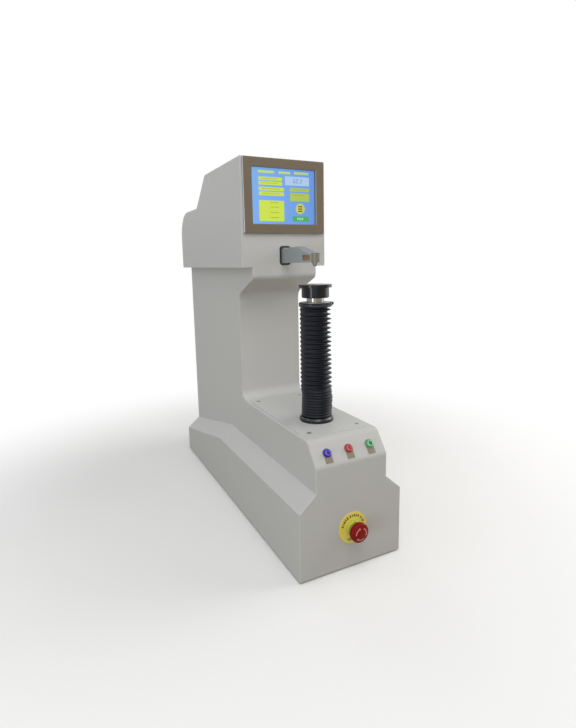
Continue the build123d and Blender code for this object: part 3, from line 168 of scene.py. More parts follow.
MACHINE_MIDDLE = (0, 0, 0.35)
COOL, WARM, PLAIN = (0.85, 0.94, 1.0), (1.0, 0.93, 0.83), (1.0, 0.985, 0.955)
soft_lamp("overhead", (-0.2, -0.5, 2.3), MACHINE_MIDDLE, 1.8, 5, PLAIN)
soft_lamp("front_top", (-0.25, -1.0, 1.5), (0, -0.1, 0.45), 0.8, 5.4, PLAIN)
soft_lamp("front_left", (-1.2, -2.0, 0.9), MACHINE_MIDDLE, 1.2, 6.5, WARM)
soft_lamp("left_low", (-2.0, -1.15, 0.3), (0, -0.2, 0.4), 0.5, 8, COOL)
soft_lamp("left_high", (-1.8, 0.2, 2.0), MACHINE_MIDDLE, 1.2, 5, COOL)
soft_lamp("right", (1.6, -0.4, 0.85), (0, -0.1, 0.45), 1.3, 10, PLAIN)
soft_lamp("right_high", (1.8, -0.6, 1.6), MACHINE_MIDDLE, 1.2, 7, PLAIN)
soft_lamp("back", (0.05, 2.1, 1.3), MACHINE_MIDDLE, 1.2, 7, PLAIN)


# ------------------------------------------------------------------ painted covers
# The base, column and head covers and the table plate are folded from 3 mm steel sheet and
# powder coated in one warm light grey. The baked powder leaves a fine orange peel.
def tint(red, green, blue):
    """A colour given as it looks on a screen, 0 to 255, as the shader's linear values."""
    def linear(value):
        share = value / 255
        return share / 12.92 if share <= 0.04045 else ((share + 0.055) / 1.055) ** 2.4
    return (linear(red), linear(green), linear(blue), 1)


def shaded(colour, factor):
    """The same colour, lighter or darker."""
    return (colour[0] * factor, colour[1] * factor, colour[2] * factor, 1)


def surface(name, colour, roughness, metal=0.0, grain=(700, 700, 700), relief=0.1, spread=0.04,
            gloss_spread=0.05, shine=0.5):
    """A finish whose tone, gloss and relief all follow a grain of the given fineness."""
    material = bpy.data.materials.new(name)
    material.use_nodes = True
    tree = material.node_tree
    shader = tree.nodes["Principled BSDF"]
    shader.inputs["Metallic"].default_value = metal
    shader.inputs["Specular IOR Level"].default_value = shine
    where = tree.nodes.new("ShaderNodeTexCoord")
    where.name = "where"
    stretch = tree.nodes.new("ShaderNodeMapping")
    stretch.inputs["Scale"].default_value = grain
    fine = tree.nodes.new("ShaderNodeTexNoise")
    fine.inputs["Scale"].default_value = 1.0
    fine.inputs["Detail"].default_value = 4.0
    cloud = tree.nodes.new("ShaderNodeTexNoise")
    cloud.inputs["Scale"].default_value = 9.0
    cloud.inputs["Detail"].default_value = 3.0
    both = tree.nodes.new("ShaderNodeMath")
    both.operation = "MULTIPLY_ADD"
    both.inputs[1].default_value = 0.5
    halved = tree.nodes.new("ShaderNodeMath")
    halved.operation = "MULTIPLY"
    halved.inputs[1].default_value = 0.5
    tone = tree.nodes.new("ShaderNodeMix")
    tone.name = "tone"
    tone.data_type = "RGBA"
    tone.inputs["A"].default_value = shaded(colour, 1 - spread)
    tone.inputs["B"].default_value = shaded(colour, 1 + spread)
    gloss = tree.nodes.new("ShaderNodeMapRange")
    gloss.name = "gloss"
    gloss.inputs["To Min"].default_value = roughness - gloss_spread
    gloss.inputs["To Max"].default_value = roughness + gloss_spread
    bump = tree.nodes.new("ShaderNodeBump")
    bump.inputs["Strength"].default_value = relief
    bump.inputs["Distance"].default_value = 0.2 * MM
    link = tree.links.new
    link(where.outputs["Object"], stretch.inputs["Vector"])
    link(stretch.outputs["Vector"], fine.inputs["Vector"])
    link(where.outputs["Object"], cloud.inputs["Vector"])
    link(cloud.outputs["Fac"], halved.inputs[0])
    link(fine.outputs["Fac"], both.inputs[0])
    link(halved.outputs[0], both.inputs[2])
    link(both.outputs[0], tone.inputs["Factor"])
    link(tone.outputs["Result"], shader.inputs["Base Color"])
    link(fine.outputs["Fac"], gloss.inputs["Value"])
    link(gloss.outputs[0], shader.inputs["Roughness"])
    link(fine.outputs["Fac"], bump.inputs["Height"])
    link(bump.outputs["Normal"], shader.inputs["Normal"])
    return material


def dress(material, *names):
    """Give a finish to nodes of the frame."""
    for name in names:
        for place in nodes[name].material_slots:
            place.material = material


PAINT = tint(196, 196, 195)
powder_coat = surface(
    "powder_coat", PAINT, 0.46, grain=(850, 850, 850), relief=0.22, spread=0.025, shine=0.25
)
dress(powder_coat, "base_cover", "column_cover", "rear_cover", "head_cover")
dress(powder_coat, "head_front_panel", "head_base_plate", "table_plate")


# ------------------------------------------------------------------ screen bezel
# A frame cut from 6 mm stainless plate, brushed along its length. Its front is painted brown, a
# painted reflection of brown surroundings in the steel. Its sides and its bevelled edges are left
# greyer, and a thin strip along its left edge is painted pale bluish grey, a painted highlight.
def banded(material, axis, level, colour, roughness, below=False):
    """Another tone and gloss on the part of a piece past a level along an axis."""
    tree = material.node_tree
    shader = tree.nodes["Principled BSDF"]
    split = tree.nodes.new("ShaderNodeSeparateXYZ")
    past = tree.nodes.new("ShaderNodeMath")
    past.operation = "LESS_THAN" if below else "GREATER_THAN"
    past.inputs[1].default_value = level
    repaint = tree.nodes.new("ShaderNodeMix")
    repaint.data_type = "RGBA"
    repaint.inputs["B"].default_value = colour
    regloss = tree.nodes.new("ShaderNodeMix")
    regloss.inputs["B"].default_value = roughness
    link = tree.links.new
    link(tree.nodes["where"].outputs["Object"], split.inputs["Vector"])
    link(split.outputs[axis], past.inputs[0])
    link(past.outputs[0], repaint.inputs["Factor"])
    link(past.outputs[0], regloss.inputs["Factor"])
    link(shader.inputs["Base Color"].links[0].from_socket, repaint.inputs["A"])
    link(shader.inputs["Roughness"].links[0].from_socket, regloss.inputs["A"])
    link(repaint.outputs["Result"], shader.inputs["Base Color"])
    link(regloss.outputs["Result"], shader.inputs["Roughness"])


# Painted reflection: the brown of the bezel's front stands for what the steel mirrors.
BEZEL_REFLECTED_BROWN = tint(110, 99, 83)
RIM_STEEL = tint(124, 123, 120)
EDGE_HIGHLIGHT = tint(176, 180, 186)
BEVEL_DEPTH = 0.15 * MM
HIGHLIGHT_WIDTH = 0.7 * MM
bezel_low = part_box("bezel")[0]
bezel_steel = surface("bezel_brushed_steel", BEZEL_REFLECTED_BROWN, 0.42, 0.85, (12, 900, 1400), 0.12, 0.10)
banded(bezel_steel, "Y", bezel_low[1] + BEVEL_DEPTH, RIM_STEEL, 0.45)
# Painted highlight: a pale bluish strip along the bezel's left edge.
banded(bezel_steel, "X", bezel_low[0] + HIGHLIGHT_WIDTH, EDGE_HIGHLIGHT, 0.35, below=True)
dress(bezel_steel, "bezel")

# ------------------------------------------------------------------ touch display
# A backlit colour display behind clear glass. It shows a light blue page with rows of yellow
# fields, a pale reading window, a round menu sign and a green start field.
SCREEN_LEFT = tint(126, 178, 240)
SCREEN_RIGHT = tint(104, 150, 226)
glass_low, glass_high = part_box("touch_glass")
GLASS_FACE = glass_low[1]
GLOW = 0.82


def lit(name, colour, second=None):
    """A glowing picture colour under glossy glass, shaded across the width if two are given."""
    material = bpy.data.materials.new(name)
    material.use_nodes = True
    tree = material.node_tree
    shader = tree.nodes["Principled BSDF"]
    shader.inputs["Roughness"].default_value = 0.22
    shader.inputs["Specular IOR Level"].default_value = 0.3
    shader.inputs["Emission Strength"].default_value = GLOW
    where = tree.nodes.new("ShaderNodeTexCoord")
    dots = tree.nodes.new("ShaderNodeTexNoise")
    dots.inputs["Scale"].default_value = 900.0
    across = tree.nodes.new("ShaderNodeSeparateXYZ")
    spread = tree.nodes.new("ShaderNodeMapRange")
    spread.inputs["From Min"].default_value = glass_low[0]
    spread.inputs["From Max"].default_value = glass_high[0]
    page = tree.nodes.new("ShaderNodeMix")
    page.data_type = "RGBA"
    page.inputs["A"].default_value = colour
    page.inputs["B"].default_value = second or shaded(colour, 0.93)
    speckle = tree.nodes.new("ShaderNodeMix")
    speckle.data_type = "RGBA"
    speckle.blend_type = "MULTIPLY"
    speckle.inputs["Factor"].default_value = 0.12
    link = tree.links.new
    link(where.outputs["Object"], dots.inputs["Vector"])
    link(where.outputs["Object"], across.inputs["Vector"])
    link(across.outputs["X"], spread.inputs["Value"])
    link(spread.outputs[0], page.inputs["Factor"])
    link(page.outputs["Result"], speckle.inputs["A"])
    link(dots.outputs["Color"], speckle.inputs["B"])
    link(speckle.outputs["Result"], shader.inputs["Emission Color"])
    dim = tree.nodes.new("ShaderNodeMix")
    dim.data_type = "RGBA"
    dim.inputs["Factor"].default_value = 0.75
    dim.inputs["B"].default_value = (0.01, 0.01, 0.012, 1)
    link(speckle.outputs["Result"], dim.inputs["A"])
    link(dim.outputs["Result"], shader.inputs["Base Color"])
    return material


def block(low, high, rounding=0.0):
    """A small block between two corners, its upright corners rounded."""
    bpy.ops.object.select_all(action="DESELECT")
    middle = [(a + b) / 2 for a, b in zip(low, high)]
    bpy.ops.mesh.primitive_cube_add(size=1, location=middle)
    made = bpy.context.object
    made.scale = [b - a for a, b in zip(low, high)]
    bpy.ops.object.transform_apply(location=True, rotation=False, scale=True)
    if rounding:
        bpy.ops.object.mode_set(mode="EDIT")
        bpy.ops.mesh.select_all(action="SELECT")
        bpy.ops.mesh.bevel(offset=rounding, segments=2, affect="EDGES")
        bpy.ops.object.mode_set(mode="OBJECT")
    return made


def joined(name, parts, material, body):
    """Several meshes as one named piece that rides on a body."""
    bpy.ops.object.select_all(action="DESELECT")
    for part in parts:
        part.select_set(True)
    bpy.context.view_layer.objects.active = parts[0]
    if len(parts) > 1:
        bpy.ops.object.join()
    piece = bpy.context.object
    piece.name = name
    piece.data.name = name
    piece.data.materials.clear()
    piece.data.materials.append(material)
    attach(piece, body)
    return piece


FIELD_DEPTH = 0.25 * MM
FIELD_ROUNDING = 0.1 * MM
MARK_LIFT = 0.15


def field(left, low, right, high, lift=0.0):
    """A field of the display's page, given in millimetres across and up."""
    back = GLASS_FACE - lift * MM
    front = back - FIELD_DEPTH
    return block((left * MM, front, low * MM), (right * MM, back, high * MM), FIELD_ROUNDING)


display_blue = lit("display_blue", SCREEN_LEFT, SCREEN_RIGHT)
dress(display_blue, "touch_glass")

TITLE_ROWS = [(-54.5, -20, 700.8), (-10.5, 15, 700.9), (23.5, 56.5, 701.6)]
TITLE_STEP, TITLE_WIDTH, TITLE_HEIGHT = 4.6, 3.7, 4.6
title_marks = []
for start, stop, low in TITLE_ROWS:
    steps = round((stop - start) / TITLE_STEP)
    for step in range(steps):
        left = start + step * (stop - start) / steps
        title_marks.append(field(left, low, left + TITLE_WIDTH, low + TITLE_HEIGHT))
FIELDS = [
    (-54, 687.2, -3.4, 693.6),
    (-54, 678.6, -3.4, 685.2),
    (-54, 667.8, 0, 674.6),
    (-53.6, 658.8, 0.2, 665.8),
    (-54, 610.0, 0, 649.6),
]
yellow_fields = title_marks + [field(*f) for f in FIELDS]
joined("display_yellow_fields", yellow_fields, lit("display_yellow", tint(206, 228, 74)), "machine")
OLIVE_FIELDS = [(13.4, 668.6, 57, 675.4), (14, 650, 57, 665.6)]
joined(
    "display_olive_fields",
    [field(*f) for f in OLIVE_FIELDS],
    lit("display_olive", tint(178, 202, 84)),
    "machine",
)
READING_WINDOW = field(2.8, 680, 57.2, 697)
START_FIELD = field(18.9, 610.4, 55.6, 620.8)
joined("display_reading_window", [READING_WINDOW], lit("display_pale", tint(176, 208, 244)), "machine")
joined("display_start_field", [START_FIELD], lit("display_green", tint(74, 176, 92)), "machine")

ROW_MARKS = [(-48, 671.0, -7, 672.0), (-48, 662.0, -8, 663.0)]
ROW_MARKS += [(-50, 690.0, -14, 690.9), (-50, 681.6, -12, 682.4)]
ROW_MARKS += [(-30, level, -12, level + 1.1) for level in (616.5, 626.5, 636.5, 645.0)]
ROW_MARKS += [(20, 671.4, 50, 672.4), (18, 661.4, 46, 662.3)]
joined(
    "display_row_marks",
    [field(*mark, lift=MARK_LIFT) for mark in ROW_MARKS],
    lit("display_mark", tint(150, 168, 52)),
    "machine",
)
START_MARK_LEFT, START_MARK_PITCH, START_MARK_WIDTH = 29, 5, 3.6
START_MARK_LOW, START_MARK_HIGH = 613.4, 617.8
start_lefts = [START_MARK_LEFT + START_MARK_PITCH * step for step in range(3)]
joined(
    "display_start_marks",
    [
        field(left, START_MARK_LOW, left + START_MARK_WIDTH, START_MARK_HIGH, lift=MARK_LIFT)
        for left in start_lefts
    ],
    lit("display_start_mark", tint(168, 226, 170)),
    "machine",
)

# The reading is a plain number, 60.2, in seven-bar figures.
BARS = {"0": "abcdef", "2": "abged", "6": "afgedc"}
BAR_BOXES = {
    "a": (0.5, 7.2, 3.5, 8),
    "b": (3.2, 4.2, 4, 7.6),
    "c": (3.2, 0.4, 4, 3.8),
    "d": (0.5, 0, 3.5, 0.8),
    "e": (0, 0.4, 0.8, 3.8),
    "f": (0, 4.2, 0.8, 7.6),
    "g": (0.5, 3.6, 3.5, 4.4),
}
FIGURES_LEFT, FIGURES_LOW, FIGURE_PITCH = 22, 684.6, 6.2
POINT_LEFT, POINT_SIZE, POINT_GAP = 34.4, 1.0, 2.4
figures = []
for order, figure in enumerate("602"):
    shift = FIGURES_LEFT + FIGURE_PITCH * order + (POINT_GAP if order == 2 else 0)
    for bar in BARS[figure]:
        left, low, right, high = BAR_BOXES[bar]
        figures.append(
            field(shift + left, FIGURES_LOW + low, shift + right, FIGURES_LOW + high, lift=MARK_LIFT)
        )
point_box = (POINT_LEFT, FIGURES_LOW, POINT_LEFT + POINT_SIZE, FIGURES_LOW + POINT_SIZE)
figures.append(field(*point_box, lift=MARK_LIFT))
joined("display_figures", figures, lit("display_figure", tint(92, 124, 156)), "machine")

MENU_CENTRE = (36.3 * MM, 635.4 * MM)
MENU_RADIUS = 10.2 * MM
MENU_DEPTH = 0.3 * MM
MENU_BAR_LEFT, MENU_BAR_RIGHT = 31.4, 41.2
MENU_BAR_LOW, MENU_BAR_HIGH = 638.4, 640.6
MENU_BAR_PITCH, MENU_BAR_LIFT = 4.4, 0.2
bpy.ops.object.select_all(action="DESELECT")
bpy.ops.mesh.primitive_cylinder_add(
    vertices=48,
    radius=MENU_RADIUS,
    depth=MENU_DEPTH,
    location=(MENU_CENTRE[0], GLASS_FACE - MENU_DEPTH / 2, MENU_CENTRE[1]),
    rotation=(math.pi / 2, 0, 0),
)
menu_disc = bpy.context.object
bpy.ops.object.transform_apply(location=True, rotation=True, scale=True)
bpy.ops.object.mode_set(mode="EDIT")
bpy.ops.mesh.select_all(action="SELECT")
bpy.ops.mesh.bevel(offset=FIELD_ROUNDING, segments=1, affect="EDGES")
bpy.ops.object.mode_set(mode="OBJECT")
joined("display_menu_disc", [menu_disc], lit("display_menu", tint(206, 214, 70)), "machine")
menu_bars = []
for step in range(3):
    drop = MENU_BAR_PITCH * step
    low, high = MENU_BAR_LOW - drop, MENU_BAR_HIGH - drop
    menu_bars.append(field(MENU_BAR_LEFT, low, MENU_BAR_RIGHT, high, lift=MENU_BAR_LIFT))
joined("display_menu_bars", menu_bars, lit("display_menu_bar", tint(64, 66, 40)), "machine")

# ------------------------------------------------------------------ nose and indenter
# A satin steel housing under the head. Its round front end is painted a darker olive grey, a
# painted reflection of warm surroundings. It carries the indenter's spindle. A near black trim
# fills the gap where it meets the head, painted shade for the shadow in that gap, and the bronze
# loading lever runs inside it.
TIP_REFLECTION_LENGTH = 8 * MM
nose_steel = surface("nose_satin_steel", tint(158, 163, 168), 0.46, 0.55, (30, 30, 300), 0.01, 0.04)
# Painted shade: the trim is near black for the shadow in the gap round the nose.
gap_shade_black = surface("gap_shade_black", tint(22, 24, 22), 0.5, spread=0.2)
lever_bronze = surface("lever_bronze", tint(150, 126, 84), 0.38, 0.8, (900, 60, 900), 0.15, 0.10)
ground_steel = surface("ground_steel", tint(112, 111, 106), 0.36, 0.85, (900, 900, 120), 0.08, 0.06)
# Painted reflection: the front end of the nose is a darker olive grey.
banded(nose_steel, "Y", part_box("nose_housing")[0][1] + TIP_REFLECTION_LENGTH, tint(116, 112, 102), 0.5, below=True)
dress(nose_steel, "nose_housing")
dress(gap_shade_black, "nose_trim")
dress(lever_bronze, "loading_lever")
dress(ground_steel, "indenter_spindle", "indenter")

# ------------------------------------------------------------------ guide liners
# Two bronze liners riveted inside the nose behind its windows. The lever's thin tongue
# slides up and down between them, and they are what shows in the windows.
NOSE_UNDERSIDE = 528.0 * MM
LINER_HALF_WIDTHS = (4.6 * MM, 5.98 * MM)
LINER_FRONT, LINER_BACK = 4.0 * MM, 35.0 * MM
LINER_LOW, LINER_HIGH = 3.0 * MM, 14.8 * MM
spindle_low, spindle_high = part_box("indenter_spindle")
NOSE_AXIS = (spindle_low[1] + spindle_high[1]) / 2
liners = []
for side in (-1, 1):
    near, far = sorted((side * LINER_HALF_WIDTHS[0], side * LINER_HALF_WIDTHS[1]))
    liners.append(
        block(
            (near, NOSE_AXIS + LINER_FRONT, NOSE_UNDERSIDE + LINER_LOW),
            (far, NOSE_AXIS + LINER_BACK, NOSE_UNDERSIDE + LINER_HIGH),
            0.3 * MM,
        )
    )
joined("nose_guide_liners", liners, lever_bronze, "machine")

# ------------------------------------------------------------------ load frame and load drive
# The steel frame in the head and column that takes the test force, the load cell between
# lever and drawbar, and the geared motor that pulls the drawbar. Cast and ground parts.
cast_iron = surface(
    "cast_iron_painted", tint(96, 104, 106), 0.62, grain=(320, 320, 320), relief=0.5, spread=0.10
)
turned_steel = surface("turned_steel", tint(150, 152, 154), 0.33, 1.0, (300, 300, 1600), 0.1, 0.08)
cell_aluminium = surface("cell_aluminium", tint(178, 182, 186), 0.4, 0.9, (90, 900, 900), 0.1, 0.06)
motor_black = surface("motor_black", tint(34, 35, 37), 0.45, 0.2, (700, 700, 700), 0.25, 0.12)
dress(cast_iron, "load_frame", "lever_bracket")
dress(turned_steel, "pivot_pin", "link_pin", "drawbar")
dress(cell_aluminium, "load_cell")
dress(motor_black, "load_motor")

# ------------------------------------------------------------------ anvil and elevating screw
# The anvil is turned steel with a hardened round plate on top, blackened in hot oxide. The
# plate's top face is painted a pale brownish grey, a painted reflection. It stands on the bright
# chrome neck of the elevating screw, which rises through the silver collar. The neck's chrome is
# painted a darker grey, a painted reflection of dark surroundings.
ANVIL_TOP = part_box("anvil")[1][2]
TOP_REFLECTION_DEPTH = 0.2 * MM
blackened_steel = surface(
    "blackened_steel", tint(12, 13, 18), 0.2, 0.0, (500, 500, 1500), 0.05, 0.12, 0.04, 0.22
)
# Painted reflection: a pale brownish grey on the anvil's top face.
banded(blackened_steel, "Z", ANVIL_TOP - TOP_REFLECTION_DEPTH, tint(112, 106, 98), 0.3)
# Painted reflection: the chrome is a darker grey for the dark surroundings it mirrors.
neck_chrome_dark_reflection = surface("neck_chrome_dark_reflection", tint(122, 118, 114), 0.16, 1.0, (60, 60, 1400), 0.06, 0.08)
collar_zinc = surface("collar_zinc", tint(176, 176, 172), 0.42, 0.7, (500, 500, 500), 0.12, 0.06)
dress(blackened_steel, "anvil")
dress(neck_chrome_dark_reflection, "elevating_screw")
dress(collar_zinc, "bellows_collar")

# ------------------------------------------------------------------ bellows
# A moulded rubber bellows that keeps dust off the elevating screw. Its lower folds stand
# slack and close together, the upper ones are drawn open, and each sits a little askew.
bellows_low, bellows_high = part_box("bellows")
SCREW_Y = (bellows_low[1] + bellows_high[1]) / 2
CREST = bellows_high[0]
BELLOWS_AROUND = 56
CLOSE_FOLDS, CLOSE_PITCH, CLOSE_DEPTH = 10, 5.2 * MM, 2.4 * MM
OPEN_FOLDS, OPEN_DEPTH = 18, 4.9 * MM
CUFF_HEIGHT = 9.0 * MM
WALL = 1.2 * MM
LEAN = 2.6 * MM
# The valleys between the folds sit off centre, towards the back left.
DRAWN = Vector((-0.87, 0.5, 0)) * 0.6
FOLD_SHAPE = [(0.2, 0.06), (0.4, 0.72), (0.5, 1.0), (0.6, 0.72), (0.8, 0.06), (1.0, 0.0)]
close_top = bellows_low[2] + CLOSE_FOLDS * CLOSE_PITCH
cuff_bottom = bellows_high[2] - CUFF_HEIGHT
open_pitch = (cuff_bottom - close_top) / OPEN_FOLDS
CREST_SCATTER = 0.7 * MM
ASKEW = 1.3
SLACK_INSET = 0.2 * MM
rubber = surface(
    "bellows_rubber", tint(17, 21, 31), 0.42, grain=(420, 420, 420), relief=0.25, spread=0.22, shine=0.2
)


def lean_at(level):
    """How far the slack lower folds have slid to the side at a height."""
    if level > close_top:
        return 0.0
    down = (close_top - level) / (close_top - bellows_low[2])
    return LEAN * min(1.0, down * 5) * (1 - 0.75 * down)


chance = random.Random(11)
rings = []
level = bellows_low[2]
start_radius = CREST - CLOSE_DEPTH
start_centre = Vector((lean_at(level), SCREW_Y, level))
for fold in range(CLOSE_FOLDS + OPEN_FOLDS):
    slack = fold < CLOSE_FOLDS
    pitch = CLOSE_PITCH if slack else open_pitch
    depth = CLOSE_DEPTH if slack else OPEN_DEPTH
    crest = CREST - chance.uniform(0.0, 1.0) * CREST_SCATTER - (SLACK_INSET if slack else 0)
    askew = math.radians(chance.uniform(-ASKEW, ASKEW))
    for share, reach in FOLD_SHAPE:
        height = level + pitch * share
        radius = CREST - depth + (crest - CREST + depth) * reach
        centre = Vector((lean_at(height), SCREW_Y, height)) + DRAWN * (CREST - radius)
        rings.append((radius, centre, askew * reach))
    level += pitch
cuff_rings = [(0.5, cuff_bottom + 1.2 * MM), (0, cuff_bottom + 2.0 * MM)]
cuff_rings += [(0, bellows_high[2] - 0.6 * MM), (0.5, bellows_high[2])]
for inset, height in cuff_rings:
    rings.append((CREST - inset * MM, Vector((0, SCREW_Y, height)), 0.0))
bpy.ops.object.select_all(action="DESELECT")
bpy.ops.mesh.primitive_circle_add(
    vertices=BELLOWS_AROUND,
    radius=start_radius,
    location=start_centre,
)
bellows = bpy.context.object
bellows.name = bellows.data.name = "bellows_folds"
bpy.ops.object.transform_apply(location=True, rotation=True, scale=True)
bpy.ops.object.mode_set(mode="EDIT")
bpy.ops.mesh.select_all(action="SELECT")
radius, centre, turn = start_radius, start_centre, 0.0
for next_radius, middle, next_turn in rings:
    bpy.ops.mesh.extrude_region_move(TRANSFORM_OT_translate={"value": tuple(middle - centre)})
    grow = next_radius / radius
    bpy.ops.transform.resize(value=(grow, grow, 1), center_override=middle)
    if abs(next_turn - turn) > 1e-6:
        bpy.ops.transform.rotate(value=next_turn - turn, orient_axis="Y", center_override=middle)
    radius, centre, turn = next_radius, middle, next_turn
bpy.ops.mesh.select_all(action="SELECT")
bpy.ops.mesh.normals_make_consistent(inside=False)
bpy.ops.object.mode_set(mode="OBJECT")
wall = bellows.modifiers.new("wall", "SOLIDIFY")
wall.thickness = WALL
wall.offset = -1
bpy.ops.object.modifier_apply(modifier="wall")
bpy.ops.object.shade_smooth()
bellows.data.materials.append(rubber)
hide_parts("bellows")
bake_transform(bellows)

# ------------------------------------------------------------------ bellows clamp
# A worm drive clip of blackened strip that draws the bellows' cuff onto the collar. The
# strip has rolled edges and a row of slots, and its screw sits in a pressed housing.
clamp_low, clamp_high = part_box("bellows_clamp")
STRIP_INNER = CREST + 0.06 * MM
STRIP_INSET = 0.7 * MM
STRIP_LOW, STRIP_HIGH = clamp_low[2] + STRIP_INSET, clamp_high[2] - STRIP_INSET
STRIP_WALL = 1.2 * MM
ROLLED = 0.5 * MM
SLOT_BORDER = SLOT_DEPTH = 0.35 * MM
SLOT_BAND = 0.5 * MM
SLOT_PITCH = 3.75
clip_steel = surface("clip_blackened", tint(38, 40, 48), 0.3, 0.6, (300, 300, 1200), 0.1, 0.12)
screw_black = surface("clip_screw", tint(20, 20, 22), 0.3, 0.6, (900, 900, 900), 0.1, 0.15)
bpy.ops.object.select_all(action="DESELECT")
bpy.ops.mesh.primitive_circle_add(
    vertices=96,
    radius=STRIP_INNER + ROLLED / 2,
    location=(0, SCREW_Y, STRIP_LOW),
)
strip = bpy.context.object
bpy.ops.object.transform_apply(location=True, rotation=True, scale=True)
bpy.ops.object.mode_set(mode="EDIT")
bpy.ops.mesh.select_all(action="SELECT")
strip_rise = STRIP_HIGH - STRIP_LOW
strip_radius = STRIP_INNER + ROLLED / 2
for rise, strip_next in ((0.18, STRIP_INNER), (0.64, STRIP_INNER), (0.18, STRIP_INNER + ROLLED / 2)):
    bpy.ops.mesh.extrude_region_move(TRANSFORM_OT_translate={"value": (0, 0, strip_rise * rise)})
    grow = strip_next / strip_radius
    bpy.ops.transform.resize(value=(grow, grow, 1), center_override=(0, SCREW_Y, 0))
    strip_radius = strip_next
bpy.ops.mesh.select_all(action="SELECT")
bpy.ops.mesh.normals_make_consistent(inside=False)
bpy.ops.object.mode_set(mode="OBJECT")
thick = strip.modifiers.new("thick", "SOLIDIFY")
thick.thickness = STRIP_WALL - ROLLED / 2
thick.offset = 1
bpy.ops.object.modifier_apply(modifier="thick")
bpy.ops.object.mode_set(mode="EDIT")
bpy.ops.mesh.select_all(action="DESELECT")
bpy.ops.object.mode_set(mode="OBJECT")
strip_middle = (STRIP_LOW + STRIP_HIGH) / 2
for face in strip.data.polygons:
    place = face.center
    outward = Vector((place.x, place.y - SCREW_Y, 0))
    bearing = math.degrees(math.atan2(outward.y, outward.x))
    facing = face.normal.dot(outward) > 0.9 * outward.length
    level_with_slots = abs(place.z - strip_middle) < SLOT_BAND
    face.select = facing and level_with_slots and round(bearing / SLOT_PITCH) % 2 == 0
bpy.ops.object.mode_set(mode="EDIT")
bpy.ops.mesh.inset(thickness=SLOT_BORDER, depth=-SLOT_DEPTH, use_individual=True)
bpy.ops.object.mode_set(mode="OBJECT")
joined("bellows_clip_strip", [strip], clip_steel, "lift")
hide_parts("bellows_clamp")
bpy.ops.object.shade_smooth_by_angle(angle=math.radians(35))

HOUSING_HALF, HOUSING_ROUNDING = 4.3 * MM, 1.0 * MM
CLIP_SCREW_RADIUS, CLIP_SCREW_LENGTH = 2.9 * MM, 3.2 * MM
housing_inner = CREST + STRIP_WALL - 0.2 * MM
housing = block(
    (housing_inner, SCREW_Y - HOUSING_HALF, clamp_low[2] + 0.2 * MM),
    (clamp_high[0] - CLIP_SCREW_LENGTH, SCREW_Y + HOUSING_HALF, clamp_high[2] - 0.1 * MM),
    HOUSING_ROUNDING,
)
joined("bellows_clip_housing", [housing], clip_steel, "lift")
bpy.ops.object.select_all(action="DESELECT")
bpy.ops.mesh.primitive_cylinder_add(
    vertices=24,
    radius=CLIP_SCREW_RADIUS,
    depth=CLIP_SCREW_LENGTH,
    location=(clamp_high[0] - CLIP_SCREW_LENGTH / 2, SCREW_Y, (clamp_low[2] + clamp_high[2]) / 2),
    rotation=(0, math.pi / 2, 0),
)
clip_screw = bpy.context.object
bpy.ops.object.transform_apply(location=True, rotation=True, scale=True)
bpy.ops.object.mode_set(mode="EDIT")
bpy.ops.mesh.select_all(action="SELECT")
bpy.ops.mesh.bevel(offset=0.4 * MM, segments=2, affect="EDGES")
bpy.ops.object.mode_set(mode="OBJECT")
joined("bellows_clip_screw", [clip_screw], screw_black, "lift")
bpy.ops.object.shade_smooth_by_angle(angle=math.radians(35))

# ------------------------------------------------------------------ bellows bottom ring
# A turned ring, painted gloss black and glued to the table plate. It holds the foot of the
# bellows and keeps swarf out of the hole that the elevating screw passes through.
ring_black = surface(
    "ring_gloss_black", tint(17, 17, 19), 0.16, grain=(500, 500, 500), relief=0.05, spread=0.25
)
dress(ring_black, "bellows_bottom_ring")

# ------------------------------------------------------------------ table screws
# Four countersunk socket screws hold the table plate to the ledge in the base cover. They
# are zinc plated. Below the top of each head they are painted near black, painted shade in the
# hexagon sockets.
table_low, table_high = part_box("table_screws")
HEAD = 4.8 * MM
SHANK = 2.5 * MM
SOCKET = 1.8 * MM
SOCKET_DEPTH = 2.0 * MM
ROUNDED_SOCKET = 0.93 * SOCKET
RIM = 0.97 * HEAD
head_cone = HEAD - SHANK
screw_zinc = surface("screw_zinc", tint(160, 160, 154), 0.4, 0.4, (900, 900, 900), 0.1, 0.1)
